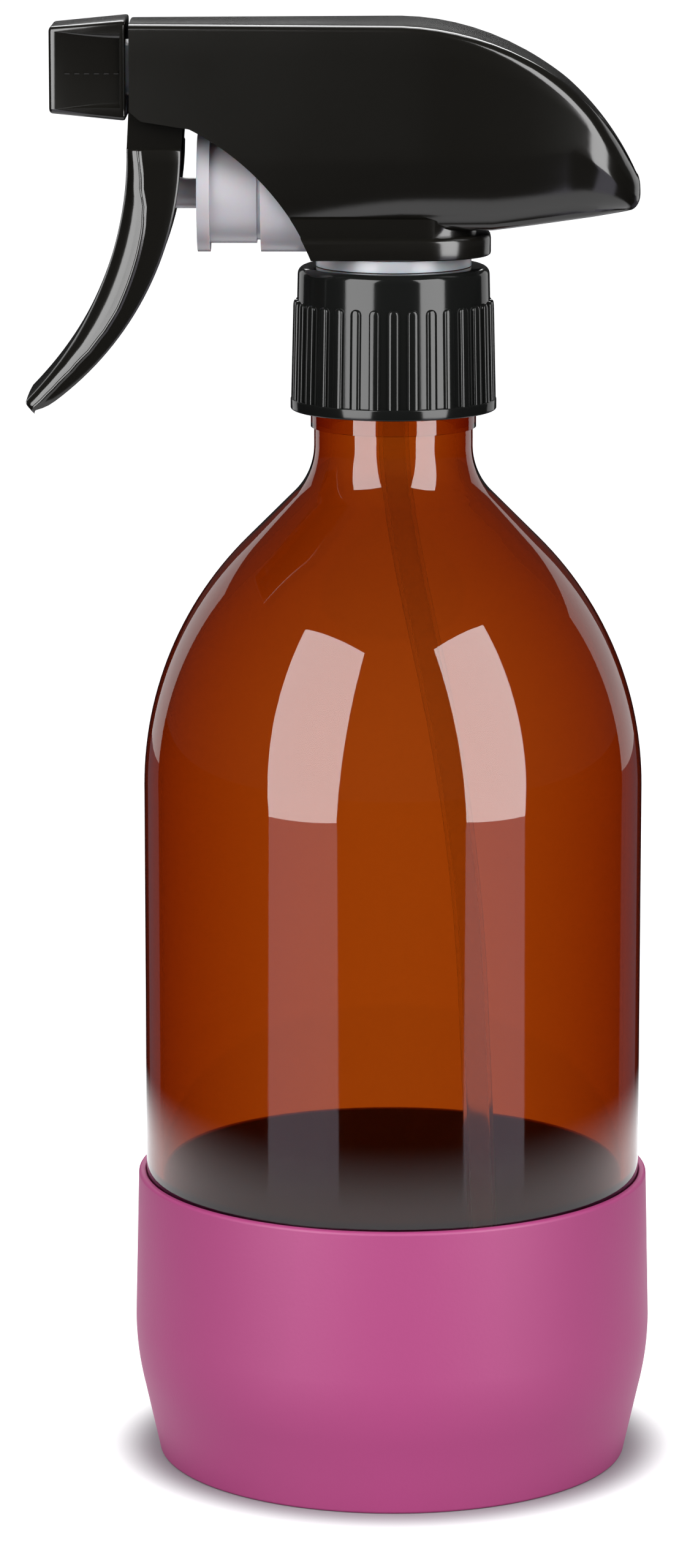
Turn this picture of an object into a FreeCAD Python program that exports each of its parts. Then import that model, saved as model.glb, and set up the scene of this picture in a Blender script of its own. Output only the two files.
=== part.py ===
"""Trigger spray bottle: amber glass bottle in a silicone sleeve, with a screw-on trigger pump.

Lengths are in millimetres. The origin is the centre of the sleeve's base, on the table, with
+Z up along the bottle's axis. The nozzle points to -X.
"""
import FreeCAD, Part
import math
import os
import re

import Sketcher

Vector = FreeCAD.Vector
doc = FreeCAD.newDocument("SprayBottle")

# Driving dimensions
SIZES = [
    ("bottle_radius", 38.0, "outside radius of the glass body"),
    ("bottle_wall", 2.5, "glass thickness"),
    ("bottle_floor", 3.5, "glass thickness at the base"),
    ("push_up", 2.5, "how far the base is domed up at its centre"),
    ("base_ring", 3.5, "width of the ring the bottle stands on"),
    ("heel_curve", 22.0, "radius of the curve from base to body"),
    ("heel_height", 15.0, "where the heel curve meets the straight body"),
    ("shoulder_height", 103.0, "where the straight body ends, above the bottle's base"),
    ("shoulder_curve", 53.4, "radius of the round shoulder"),
    ("flank_angle", 45.0, "slope of the straight flank between shoulder and neck, degrees"),
    ("neck_curve", 10.2, "radius of the hollow curve into the neck"),
    ("neck_radius", 12.0, "outside radius of the neck below the finish"),
    ("neck_straight", 2.856, "straight neck below the finish"),
    ("finish_radius", 12.5, "radius of the finish at the root of its thread"),
    ("finish_height", 21.1, "height of the finish"),
    ("rim_round", 0.8, "rounding of the bottle's mouth"),
    ("thread_radius", 13.7, "radius over the bottle's thread"),
    ("thread_pitch", 4.233, "rise of the thread in one turn"),
    ("thread_turns", 1.5, "turns of thread"),
    ("thread_width", 2.4, "width of the bottle's thread at its root"),
    ("thread_crest", 0.9, "width of the bottle's thread at its crest"),
    ("thread_drop", 13.3, "from the mouth down to the foot of the thread"),

    ("sleeve_floor", 2.0, "silicone under the bottle"),
    ("sleeve_height", 44.6, "height of the sleeve"),
    ("sleeve_gap", 0.05, "room between glass and silicone"),
    ("sleeve_wall", 1.7, "sleeve thickness at its widest"),
    ("sleeve_rim_wall", 1.15, "sleeve thickness at its rim"),
    ("sleeve_wide_height", 21.5, "height where the sleeve is widest"),
    ("sleeve_flare_height", 10.8, "height where the foot's cone ends"),
    ("sleeve_flare_inset", 1.3, "how far the cone's end lies inside the widest radius"),
    ("sleeve_flare_curve", 45.0, "radius of the curve from cone to side"),
    ("sleeve_foot_inset", 3.6, "how far the foot lies inside the widest radius"),
    ("sleeve_edge", 0.5, "rounding of the sleeve's edges"),

    ("closure_height", 21.6, "height of the screw closure"),
    ("closure_top", 1.2, "thickness of the closure's top"),
    ("closure_gap", 0.15, "room between the closure and the crest of the bottle's thread"),
    ("closure_wall", 1.05, "skirt thickness at the foot"),
    ("closure_draft", 0.45, "how much narrower the skirt is at the top"),
    ("closure_edge", 1.2, "rounding of the closure's top edge"),
    ("closure_seat_depth", 5.0, "depth of the narrow seat under the closure's top"),
    ("flange_height", 1.7, "height of the closure's foot flange"),
    ("flange_reach", 0.65, "how far the foot flange stands out of the skirt"),
    ("rib_count", 32, "grip ribs round the closure"),
    ("rib_width", 1.1, "width of a grip rib"),
    ("rib_height", 0.55, "how far a grip rib stands out"),
    ("rib_top_gap", 3.6, "from the top of the closure down to the ribs"),
    ("closure_thread_reach", 1.05, "how far the closure's thread stands in"),
    ("closure_thread_width", 1.5, "width of the closure's thread at its root"),
    ("closure_thread_crest", 0.6, "width of the closure's thread at its crest"),

    ("seal_thickness", 1.0, "thickness of the neck gasket"),
    ("seal_inset", 0.1, "how far the gasket lies inside the finish"),
    ("seal_width", 3.4, "width of the gasket's ring"),
    ("running_gap", 0.1, "room between the closure and what turns against it"),
    ("retainer_flange", 0.9, "thickness of the tube retainer's flange"),
    ("plug_gap", 0.7, "room between the retainer's plug and the bottle's bore"),
    ("plug_wall", 1.6, "thickness of the retainer's plug"),
    ("plug_depth", 5.3, "how deep the plug reaches into the neck"),
    ("hub_wall", 1.65, "wall round the dip tube's socket"),
    ("hub_depth", 15.2, "how deep the retainer's hub reaches below its flange's top"),
    ("socket_depth", 8.0, "depth of the dip tube's socket"),
    ("web_thickness", 1.9, "thickness of the web that joins hub and plug"),
    ("collar_height", 4.8, "height of the collar that snaps into the pump"),
    ("collar_wall", 1.45, "thickness of that collar"),
    ("ball_radius", 2.38, "radius of the intake ball"),
    ("ball_room", 0.72, "room round the ball in its chamber"),
    ("ball_port", 1.5, "radius of the port under the ball"),
    ("ball_gap", 0.03, "room between ball and seat"),
    ("ball_seat_floor", 0.8, "thickness of the floor under the ball's seat"),
    ("ball_lift", 1.5, "how far the ball can rise"),
    ("tube_radius", 2.3, "outside radius of the dip tube"),
    ("tube_bore", 1.6, "bore radius of the dip tube"),
    ("tube_gap", 0.05, "room round the tube in its socket"),
    ("tube_bend_drop", 26.0, "from the tube's top down to its first bend"),
    ("tube_lean", 11.3, "sideways place of the second bend"),
    ("tube_lean_height", 95.0, "height of the second bend above the bottle's base"),
    ("tube_foot_lean", 15.2, "sideways place of the tube's foot"),
    ("tube_foot_gap", 1.6, "from the top of the domed base up to the tube's foot"),

    ("spigot_radius", 9.0, "radius of the pump where it passes through the closure"),
    ("deck_radius", 11.7, "radius of the pump's round base"),
    ("deck_height", 1.7, "thickness of the pump's round base"),
    ("snap_gap", 0.05, "room between parts that snap together"),
    ("passage", 1.6, "radius of the pump's narrow passages"),
    ("piston_rise", 9.1, "from the deck up to the piston's axis"),
    ("outlet_rise", 27.9, "from the deck up to the outlet's axis"),
    ("housing_radius", 8.8, "radius of the pump's housing and the cylinder's flange"),
    ("housing_front", 19.9, "from the bottle's axis forward to the housing's face"),
    ("housing_back", 6.6, "from the bottle's axis back to the housing's end"),
    ("riser_radius", 3.4, "radius of the rising tube"),
    ("riser_reach", 11.0, "from the bottle's axis forward to the rising tube"),
    ("outlet_radius", 4.2, "radius of the outlet tube"),
    ("outlet_bore", 2.0, "bore radius of the outlet tube"),
    ("outlet_back", 7.0, "from the bottle's axis forward to the outlet tube's closed end"),
    ("valve_bore", 3.0, "bore radius of the valve chamber"),
    ("valve_seat_reach", 38.0, "from the bottle's axis forward to the valve's seat"),
    ("web_width", 2.8, "thickness of the web under the outlet tube"),
    ("web_back", 5.0, "how far the web reaches behind the bottle's axis"),

    ("cylinder_mouth", 29.4, "from the bottle's axis forward to the cylinder's mouth"),
    ("cylinder_flange", 1.9, "thickness of the cylinder's flange"),
    ("cylinder_radius", 7.5, "outside radius of the cylinder's barrel"),
    ("cylinder_bore", 6.0, "bore radius of the cylinder"),
    ("cylinder_plug", 7.0, "radius of the cylinder where it plugs into the housing"),
    ("cylinder_slot", 0.6, "gap between the barrel's shoulder and the housing"),
    ("cylinder_end", 8.0, "from the bottle's axis forward to the cylinder's closed end"),
    ("cylinder_floor", 1.5, "thickness of the cylinder's closed end"),

    ("piston_gap", 0.05, "running room round the piston and the pins"),
    ("rod_radius", 2.3, "radius of the piston rod"),
    ("tip_gap", 0.05, "room between the rod's round tip and the trigger"),
    ("head_front", 27.5, "from the bottle's axis forward to the piston head's front"),
    ("head_length", 2.0, "thickness of the piston's head"),
    ("head_inset", 0.3, "how far the head lies inside the bore"),
    ("cup_length", 3.0, "length of the piston's seal"),
    ("cup_lip", 1.4, "depth of the hollow behind the seal's lip"),
    ("cup_lip_wall", 0.7, "thickness of the seal's lip"),
    ("nose_radius", 2.6, "radius of the piston's nose"),
    ("nose_length", 1.5, "how far the nose stands behind the seal"),
    ("spring_radius", 4.2, "mean radius of the piston spring"),
    ("spring_wire", 0.8, "wire diameter of the piston spring"),
    ("spring_turns", 5, "turns of the piston spring"),

    ("pivot_reach", 36.0, "from the bottle's axis forward to the trigger's pivot"),
    ("pivot_rise", 23.2, "from the deck up to the trigger's pivot"),
    ("pivot_pin", 1.5, "radius of the trigger's trunnions"),
    ("lug_radius", 3.3, "radius of the pivot lug"),
    ("lug_half", 5.0, "half the pivot lug's width"),
    ("arm_gap", 0.25, "room between the lug and the trigger's arms"),
    ("arm_wall", 1.65, "thickness of a trigger arm"),
    ("pin_length", 2.7, "length of a trunnion"),
    ("trigger_wall", 1.8, "thickness of the trigger's lower shell"),
    ("trigger_room", 0.4, "room between the trigger's shell and the cylinder's flange"),
    ("ledge_drop", 6.7, "from the pivot down to the trigger's ledge"),
    ("trigger_front", 3.8, "from the pivot forward to the trigger's front at the ledge"),
    ("trigger_back", 4.4, "from the pivot back to the trigger's back at the ledge"),
    ("front_curve", 52.8, "radius of the trigger's finger side"),
    ("back_curve", 47.0, "radius of the trigger's back edge"),
    ("tip_front_reach", 19.4, "from the pivot forward to the front of the trigger's tip"),
    ("tip_front_drop", 44.6, "from the pivot down to the front of the trigger's tip"),
    ("tip_low_reach", 18.9, "from the pivot forward to the tip's lowest point"),
    ("tip_low_drop", 46.6, "from the pivot down to the tip's lowest point"),
    ("tip_back_reach", 17.2, "from the pivot forward to the back of the tip"),
    ("tip_back_drop", 46.1, "from the pivot down to the back of the tip"),
    ("finger_round", 3.6, "rounding of the trigger's two front edges"),
    ("pad_reach", 2.6, "from the pivot forward to the flat seat that the rod meets"),
    ("pad_half", 3.2, "half the width and height of that seat"),
    ("yoke_front", 3.4, "from the pivot forward to the front of the trigger's neck"),
    ("yoke_back", 4.6, "from the pivot back to the back of the trigger's neck"),
    ("yoke_head", 3.1, "radius of the arms round the pivot"),

    ("shroud_wall", 1.3, "thickness of the shroud"),
    ("shroud_room", 0.4, "room between the shroud and the trigger's arms"),
    ("shroud_wide_room", 2.5, "room between the shroud and the pump's housing"),
    ("shroud_lift", 0.1, "room under the shroud's collar"),
    ("shroud_front", 39.3, "from the bottle's axis forward to the shroud's mouth"),
    ("shroud_top", 35.1, "from the deck up to the shroud's top"),
    ("shroud_foot", 4.3, "from the deck up to the shroud's belly at the collar"),
    ("shroud_wide_at", 6.0, "from the bottle's axis back to the shroud's widest place"),
    ("back_curve_at", 26.0, "from the bottle's axis back to the end of the first back curve"),
    ("back_curve_drop", 9.0, "how far the first back curve falls"),
    ("back_round", 42.0, "radius of the first back curve"),
    ("tail_slope_at", 36.6, "from the bottle's axis back to the end of the second curve"),
    ("tail_slope_rise", 11.7, "from the deck up to the end of the second back curve"),
    ("tail_slope_round", 40.0, "radius of the second back curve"),
    ("tail_low_at", 35.3, "from the bottle's axis back to the tail's lower corner"),
    ("tail_low_rise", 6.8, "from the deck up to the tail's lower corner"),
    ("tail_nose", 3.4, "radius of the tail's end seen from the side"),
    ("tail_end", 37.0, "from the bottle's axis back to the tail's end"),
    ("tail_round", 9.5, "radius of the tail's end seen from above"),
    ("tail_blend_at", 31.1, "from the bottle's axis back to where side and tail curves meet"),
    ("tail_blend_half", 8.79, "half width where side and tail curves meet"),
    ("side_round", 53.6, "radius of the shroud's side towards the tail"),
    ("shroud_edge", 1.2, "rounding of the shroud's top edge"),
    ("belly_room", 0.3, "room of the front outline outside the shroud's widest place"),
    ("belly_in", 2.4, "how far the shroud's sides draw in towards its foot"),
    ("belly_rise", 10.0, "height over which the sides draw in"),
    ("belly_curve", 22.4, "radius of that curve"),
    ("belly_round", 1.6, "rounding of the belly's lower edge"),
    ("collar_rise", 3.3, "height of the shroud's collar"),
    ("collar_half", 12.0, "half width of the shroud's collar"),
    ("collar_back", 14.6, "from the bottle's axis back to the collar's end"),
    ("collar_round", 10.4, "rounding of the collar's back corners"),
    ("crease_depth", 2.1, "depth of the crease between collar and belly"),
    ("cut_foot_at", 12.3, "from the bottle's axis forward to the foot of the front cut"),
    ("cut_round", 37.0, "radius of the hollow front cut"),
    ("cut_top_at", 30.4, "from the bottle's axis forward to the top of the front cut"),
    ("cut_top_rise", 19.4, "from the deck up to the top of the front cut"),
    ("brow_at", 37.6, "from the bottle's axis forward to the shroud's front lower corner"),
    ("brow_rise", 20.5, "from the deck up to the shroud's front lower corner"),
    ("brow_bevel", 1.4, "bevel of the shroud's front lower corner"),
    ("rail_half", 1.5, "half the length of a rail that holds the shroud on the pump"),
    ("rail_width", 5.0, "width of such a rail"),
    ("front_rail_at", 28.0, "from the bottle's axis forward to the front rail"),
    ("back_rail_at", 10.0, "from the bottle's axis forward to the back rail"),

    ("nozzle_back", 39.9, "from the bottle's axis forward to the nozzle's back"),
    ("nozzle_length", 11.4, "length of the nozzle"),
    ("nozzle_back_half", 7.45, "half the nozzle's width at its back"),
    ("nozzle_front_half", 6.4, "half the nozzle's width at its front"),
    ("nozzle_edge", 0.7, "rounding of the nozzle's edges"),
    ("nozzle_wall", 1.6, "thickness of the nozzle's front"),
    ("nozzle_gap", 0.07, "running room between nozzle and outlet tube"),
    ("nozzle_hub", 1.4, "wall of the hub that turns on the outlet tube"),
    ("nozzle_shell", 1.3, "thickness of the nozzle's square shell"),
    ("orifice", 0.4, "radius of the spray hole"),
    ("grip_half", 4.9, "half the height of the nozzle's finger hollows"),
    ("grip_depth", 0.8, "depth of the finger hollows at their back"),
    ("grip_lip", 1.0, "lip behind the finger hollows"),
    ("grip_front", 1.2, "land in front of the finger hollows"),
    ("nozzle_seal_thickness", 0.6, "thickness of the nozzle's seal"),
    ("nozzle_seal_width", 0.9, "width of the nozzle seal's ring"),
    ("spinner_length", 4.4, "length of the swirl insert"),
    ("spinner_bore", 1.5, "bore radius of the swirl insert"),
    ("spinner_floor", 1.0, "thickness of the swirl insert's front"),
    ("swirl_slot", 0.7, "width of a swirl slot"),
    ("swirl_depth", 0.5, "depth of a swirl slot"),
    ("swirl_count", 3, "swirl slots in the insert's front"),
    ("poppet_radius", 2.6, "radius of the outlet valve"),
    ("poppet_thickness", 1.2, "thickness of the outlet valve"),
    ("poppet_nose", 1.4, "radius of the nose that keeps the valve in its spring"),
    ("poppet_nose_length", 1.6, "length of that nose"),
    ("poppet_gap", 0.03, "room between the outlet valve and its seat"),
    ("valve_spring_radius", 2.0, "mean radius of the outlet spring"),
    ("valve_spring_wire", 0.4, "wire diameter of the outlet spring"),
    ("valve_spring_turns", 6, "turns of the outlet spring"),
]

# Places worked out from the driving dimensions, from the bottle up to the nozzle
PLACES = [
    ("shoulder_out", "bottle_radius - shoulder_curve * (1 - cos(flank_angle))"),
    ("shoulder_top", "shoulder_height + shoulder_curve * sin(flank_angle)"),
    ("neck_in", "neck_radius + neck_curve * (1 - cos(flank_angle))"),
    ("flank_top", "shoulder_top + (shoulder_out - neck_in) * tan(flank_angle)"),
    ("neck_foot", "flank_top + neck_curve * sin(flank_angle)"),
    ("parting", "neck_foot + neck_straight"),
    ("rim", "parting + finish_height"),
    ("bore", "neck_radius - bottle_wall"),
    ("heel_foot", "bottle_radius - heel_curve + sqrt(heel_curve ^ 2 - heel_height ^ 2)"),
    ("heel_in", "bottle_radius - heel_curve"
                " + sqrt((heel_curve - bottle_wall) ^ 2 - (heel_height - bottle_floor) ^ 2)"),
    ("mouth", "sleeve_floor + rim"),
    ("seal_radius", "finish_radius - seal_inset"),
    ("retainer_top", "mouth + seal_thickness + retainer_flange"),
    ("closure_under", "retainer_top + running_gap"),
    ("closure_foot", "closure_under + closure_top - closure_height"),
    ("deck", "closure_under + closure_top + running_gap + deck_height"),
    ("closure_inner", "thread_radius + closure_gap"),
    ("skirt_foot", "closure_inner + closure_wall"),
    ("skirt_top", "skirt_foot - closure_draft"),
    ("plug_radius", "bore - plug_gap"),
    ("collar_radius", "spigot_radius - collar_wall - snap_gap"),
    ("chamber_radius", "ball_radius + ball_room"),
    ("seat_floor", "retainer_top - hub_depth + socket_depth + ball_seat_floor"),
    ("ball_centre", "seat_floor - ball_port + ball_radius * sqrt(2) + ball_gap"),
    ("stub_foot", "ball_centre + ball_radius + ball_lift"),
    ("tube_top", "retainer_top - hub_depth + socket_depth"),
    ("tube_foot", "sleeve_floor + push_up + bottle_floor + tube_foot_gap"),
    ("skirt_wide", "bottle_radius + sleeve_gap + sleeve_wall"),
    ("piston_axis", "deck + piston_rise"),
    ("outlet_axis", "deck + outlet_rise"),
    ("arm_outer", "lug_half + arm_gap + arm_wall"),
    ("trigger_half", "housing_radius + trigger_room + trigger_wall"),
    ("shroud_slim", "arm_outer + shroud_room + shroud_wall"),
    ("shroud_wide", "housing_radius + shroud_wide_room + shroud_wall"),
    ("nozzle_front", "nozzle_back + nozzle_length"),
    ("outlet_nose", "nozzle_front - nozzle_wall - nozzle_seal_thickness - nozzle_gap"),
]

sheet = doc.addObject("Spreadsheet::Sheet", "Sizes")
for row, (name, value, words) in enumerate(SIZES, 1):
    sheet.set("A%d" % row, words)
    sheet.set("B%d" % row, str(value))
    sheet.setAlias("B%d" % row, name)
doc.recompute()

OWNER = {name: "Sizes." for name, value, words in SIZES}
OWNER.update({name: "Places." for name, rule in PLACES})


def full(rule):
    """The rule as the document writes it, with each name's owner in front."""
    return re.sub(r"[a-z_]+", lambda word: OWNER.get(word.group(), "") + word.group(), str(rule))


def worth(rule):
    """What a rule comes to now, in millimetres, degrees or a count."""
    value = sheet.evalExpression(full(rule))
    return float(getattr(value, "Value", value))


places = doc.addObject("App::VarSet", "Places")
for name, rule in PLACES:
    places.addProperty("App::PropertyFloat", name, "Places")
    places.setExpression(name, full(rule))
    doc.recompute()


def new_body(label, along="0", height="0"):
    """A body whose own origin lies at X = along and Z = height."""
    body = doc.addObject("PartDesign::Body", label)
    body.Label = label
    body.setExpression("Placement.Base.x", full(along))
    body.setExpression("Placement.Base.z", full(height))
    return body


def plane_of(body, role):
    return next(f for f in body.Origin.OriginFeatures if f.Role == role)


def new_sketch(body, name, role, offset="0"):
    """An empty sketch on one of the body's planes, moved along that plane's normal."""
    sketch = body.newObject("Sketcher::SketchObject", name)
    sketch.AttachmentSupport = [(plane_of(body, role), "")]
    sketch.MapMode = "FlatFace"
    sketch.setExpression("AttachmentOffset.Base.z", full(offset))
    return sketch


def pin_point(sketch, edge, end, x_rule, y_rule):
    """Ties one end of an edge to its place in the sketch."""
    for axis, kind, rule in ((-2, "DistanceX", x_rule), (-1, "DistanceY", y_rule)):
        if rule == "0":
            sketch.addConstraint(Sketcher.Constraint("PointOnObject", edge, end, axis))
        else:
            tie = sketch.addConstraint(Sketcher.Constraint(kind, -1, 1, edge, end, worth(rule)))
            sketch.setExpression("Constraints[%d]" % tie, full(rule))


def arc_between(start, finish, radius, turn):
    """The short arc from start to finish that turns left or right."""
    chord = finish - start
    side = 1 if turn == "left" else -1
    rise = math.sqrt(max(radius ** 2 - (chord.Length / 2) ** 2, 0))
    across = Vector(-chord.y, chord.x, 0).normalize() * side
    centre = (start + finish) / 2 + across * rise
    circle = Part.Circle(centre, Vector(0, 0, 1), radius)
    first, last = (start, finish) if turn == "left" else (finish, start)
    return Part.ArcOfCircle(circle, circle.parameter(first), circle.parameter(last))


def outline(sketch, corners):
    """Adds a closed outline. A corner is (x, y), or (x, y, radius, turn) if an arc leaves it."""
    points = [Vector(worth(c[0]), worth(c[1]), 0) for c in corners]
    edges = []
    for i, corner in enumerate(corners):
        start, finish = points[i], points[(i + 1) % len(points)]
        if len(corner) == 2:
            line = Part.LineSegment(start, finish)
            edges.append((sketch.addGeometry(line, False), 1, 2))
        else:
            arc = arc_between(start, finish, worth(corner[2]), corner[3])
            ends = (1, 2) if corner[3] == "left" else (2, 1)
            edges.append((sketch.addGeometry(arc, False),) + ends)
    for i, corner in enumerate(corners):
        edge, first, last = edges[i]
        follower = edges[(i + 1) % len(corners)]
        sketch.addConstraint(Sketcher.Constraint("Coincident", edge, last, *follower[:2]))
        pin_point(sketch, edge, first, str(corner[0]), str(corner[1]))
        if len(corner) > 2:
            tie = sketch.addConstraint(Sketcher.Constraint("Radius", edge, worth(corner[2])))
            sketch.setExpression("Constraints[%d]" % tie, full(corner[2]))


def draw(body, name, role, corners, offset="0"):
    """A sketch that holds one closed outline."""
    sketch = new_sketch(body, name, role, offset)
    outline(sketch, corners)
    return sketch


def ring(sketch, radius, x_rule="0", y_rule="0"):
    """Adds a circle to a sketch."""
    centre = Vector(worth(x_rule), worth(y_rule), 0)
    circle = sketch.addGeometry(Part.Circle(centre, Vector(0, 0, 1), worth(radius)), False)
    pin_point(sketch, circle, 3, str(x_rule), str(y_rule))
    tie = sketch.addConstraint(Sketcher.Constraint("Radius", circle, worth(radius)))
    sketch.setExpression("Constraints[%d]" % tie, full(radius))


def disc(body, name, role, x_rule, y_rule, radius, offset="0"):
    """A sketch that holds one circle."""
    sketch = new_sketch(body, name, role, offset)
    ring(sketch, radius, x_rule, y_rule)
    return sketch


def box_corners(x_low, x_high, y_low, y_high):
    return [(x_low, y_low), (x_high, y_low), (x_high, y_high), (x_low, y_high)]


def settle(feature):
    """Works the feature out and makes sure that it came out sound."""
    doc.recompute()
    if not feature.isValid():
        raise RuntimeError(feature.Name + ": " + feature.getStatusString())
    return feature


def spin(body, sketch, axis="V_Axis", kind="Revolution"):
    """Turns an outline about an axis of its sketch."""
    turned = body.newObject("PartDesign::" + kind, sketch.Name + "_turned")
    turned.Profile = sketch
    turned.ReferenceAxis = (sketch, [axis])
    turned.Angle = 360
    return settle(turned)


def pad(body, sketch, length, symmetric=False, backwards=False):
    """Adds an outline's straight extrusion."""
    solid = body.newObject("PartDesign::Pad", sketch.Name + "_pad")
    solid.Profile = sketch
    solid.SideType = "Symmetric" if symmetric else "One side"
    solid.Reversed = backwards
    solid.setExpression("Length", full(length))
    return settle(solid)


def cut(body, sketch, length, symmetric=False, backwards=False):
    """Takes an outline's straight extrusion away, and makes sure that something went."""
    before = body.Shape.Volume
    hole = body.newObject("PartDesign::Pocket", sketch.Name + "_cut")
    hole.Profile = sketch
    hole.SideType = "Symmetric" if symmetric else "One side"
    hole.Reversed = backwards
    hole.setExpression("Length", full(length))
    settle(hole)
    if not body.Shape.Volume < before:
        raise RuntimeError("nothing was cut by " + sketch.Name)
    return hole


def wind(body, sketch, pitch, turns, kind="AdditiveHelix"):
    """Winds an outline about its sketch's upright axis."""
    coil = body.newObject("PartDesign::" + kind, sketch.Name + "_wound")
    coil.Profile = sketch
    coil.ReferenceAxis = (sketch, ["V_Axis"])
    coil.Mode = "pitch-turns-angle"
    coil.setExpression("Pitch", full(pitch))
    coil.setExpression("Turns", full(turns))
    return settle(coil)


def soften(body, name, radius, chosen):
    """Rounds the edges of the body that chosen says yes to."""
    base = body.Tip
    names = ["Edge%d" % i for i, edge in enumerate(base.Shape.Edges, 1) if chosen(edge)]
    if not names:
        raise RuntimeError("no edge to round for " + name)
    rounding = body.newObject("PartDesign::Fillet", name)
    rounding.Base = (base, names)
    rounding.setExpression("Radius", full(radius))
    return settle(rounding)


def repeat_round(body, feature, sketch, count, axis="V_Axis"):
    """Repeats a feature evenly round an axis of a sketch."""
    pattern = body.newObject("PartDesign::PolarPattern", feature.Name + "_round")
    pattern.Originals = [feature]
    pattern.Axis = (sketch, [axis])
    pattern.Angle = 360
    pattern.setExpression("Occurrences", full(count))
    body.Tip = pattern
    return settle(pattern)


def make_bottle():
    body = new_body("bottle", height="sleeve_floor")
    skin_x = "bottle_wall * sin(flank_angle)"
    skin_z = "bottle_wall * cos(flank_angle)"
    profile = draw(body, "glass", "XZ_Plane", [
        ("0", "push_up"),
        ("heel_foot - base_ring", "0"),
        ("heel_foot", "0", "heel_curve", "left"),
        ("bottle_radius", "heel_height"),
        ("bottle_radius", "shoulder_height", "shoulder_curve", "left"),
        ("shoulder_out", "shoulder_top"),
        ("neck_in", "flank_top", "neck_curve", "right"),
        ("neck_radius", "neck_foot"),
        ("neck_radius", "parting"),
        ("finish_radius", "parting"),
        ("finish_radius", "rim - rim_round", "rim_round", "left"),
        ("finish_radius - rim_round", "rim"),
        ("bore", "rim"),
        ("bore", "neck_foot", "neck_curve + bottle_wall", "left"),
        ("neck_in - " + skin_x, "flank_top - " + skin_z),
        ("shoulder_out - " + skin_x, "shoulder_top - " + skin_z,
         "shoulder_curve - bottle_wall", "right"),
        ("bottle_radius - bottle_wall", "shoulder_height"),
        ("bottle_radius - bottle_wall", "heel_height", "heel_curve - bottle_wall", "right"),
        ("heel_in", "bottle_floor"),
        ("0", "push_up + bottle_floor"),
    ])
    spin(body, profile)
    foot = "rim - thread_drop"
    thread = draw(body, "bottle_thread", "XZ_Plane", [
        ("finish_radius - 0.2", foot),
        ("finish_radius", foot),
        ("thread_radius", foot + " + (thread_width - thread_crest) / 2"),
        ("thread_radius", foot + " + (thread_width + thread_crest) / 2"),
        ("finish_radius", foot + " + thread_width"),
        ("finish_radius - 0.2", foot + " + thread_width"),
    ])
    wind(body, thread, "thread_pitch", "thread_turns")
    return body


def make_sleeve():
    body = new_body("silicone_sleeve")
    inner = "bottle_radius + sleeve_gap"
    rim_out = inner + " + sleeve_rim_wall"
    heel = "heel_foot + sleeve_gap"
    profile = draw(body, "sleeve_wall_outline", "XZ_Plane", [
        ("0", "0"),
        ("skirt_wide - sleeve_foot_inset - sleeve_edge", "0", "sleeve_edge", "left"),
        ("skirt_wide - sleeve_foot_inset", "sleeve_edge"),
        ("skirt_wide - sleeve_flare_inset", "sleeve_flare_height", "sleeve_flare_curve", "left"),
        ("skirt_wide", "sleeve_wide_height"),
        (rim_out, "sleeve_height - sleeve_edge", "sleeve_edge", "left"),
        (rim_out + " - sleeve_edge", "sleeve_height"),
        (inner, "sleeve_height"),
        (inner, "sleeve_floor + heel_height", "heel_curve + sleeve_gap", "right"),
        (heel, "sleeve_floor"),
        ("0", "sleeve_floor"),
    ])
    spin(body, profile)
    return body


def make_closure():
    body = new_body("closure_cap", height="closure_foot")
    seat = "seal_radius + 0.35"
    shelf = "closure_height - closure_top"
    skirt = draw(body, "closure_skirt", "XZ_Plane", [
        ("closure_inner", "0"),
        ("skirt_foot + flange_reach", "0"),
        ("skirt_foot + flange_reach", "flange_height"),
        ("skirt_foot", "flange_height"),
        ("skirt_top", "closure_height - closure_edge", "closure_edge", "left"),
        ("skirt_top - closure_edge", "closure_height"),
        ("spigot_radius + running_gap", "closure_height"),
        ("spigot_radius + running_gap", shelf),
        (seat, shelf),
        (seat, shelf + " - closure_seat_depth"),
        ("closure_inner", shelf + " - closure_seat_depth - closure_inner + " + seat),
    ])
    spin(body, skirt)
    rib = draw(body, "grip_rib", "XZ_Plane", [
        ("skirt_foot - closure_wall / 2", "flange_height / 2"),
        ("skirt_foot + rib_height", "flange_height / 2"),
        ("skirt_top + rib_height", "closure_height - rib_top_gap - rib_height"),
        ("skirt_top", "closure_height - rib_top_gap"),
        ("skirt_top - closure_wall / 2", "closure_height - rib_top_gap"),
    ])
    one = pad(body, rib, "rib_width", symmetric=True)
    repeat_round(body, one, skirt, "rib_count")
    half = "thread_pitch / 2"
    middle = "mouth - closure_foot - thread_drop + thread_width / 2 - " + half
    inward = "closure_inner - closure_thread_reach"
    thread = draw(body, "closure_thread", "XZ_Plane", [
        ("closure_inner + 0.2", middle + " + closure_thread_width / 2"),
        ("closure_inner", middle + " + closure_thread_width / 2"),
        (inward, middle + " + closure_thread_crest / 2"),
        (inward, middle + " - closure_thread_crest / 2"),
        ("closure_inner", middle + " - closure_thread_width / 2"),
        ("closure_inner + 0.2", middle + " - closure_thread_width / 2"),
    ])
    wind(body, thread, "thread_pitch", "thread_turns")
    return body


def make_gasket():
    body = new_body("neck_gasket", height="mouth")
    profile = draw(body, "gasket_ring", "XZ_Plane", box_corners(
        "seal_radius - seal_width", "seal_radius", "0", "seal_thickness"))
    spin(body, profile)
    return body


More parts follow.
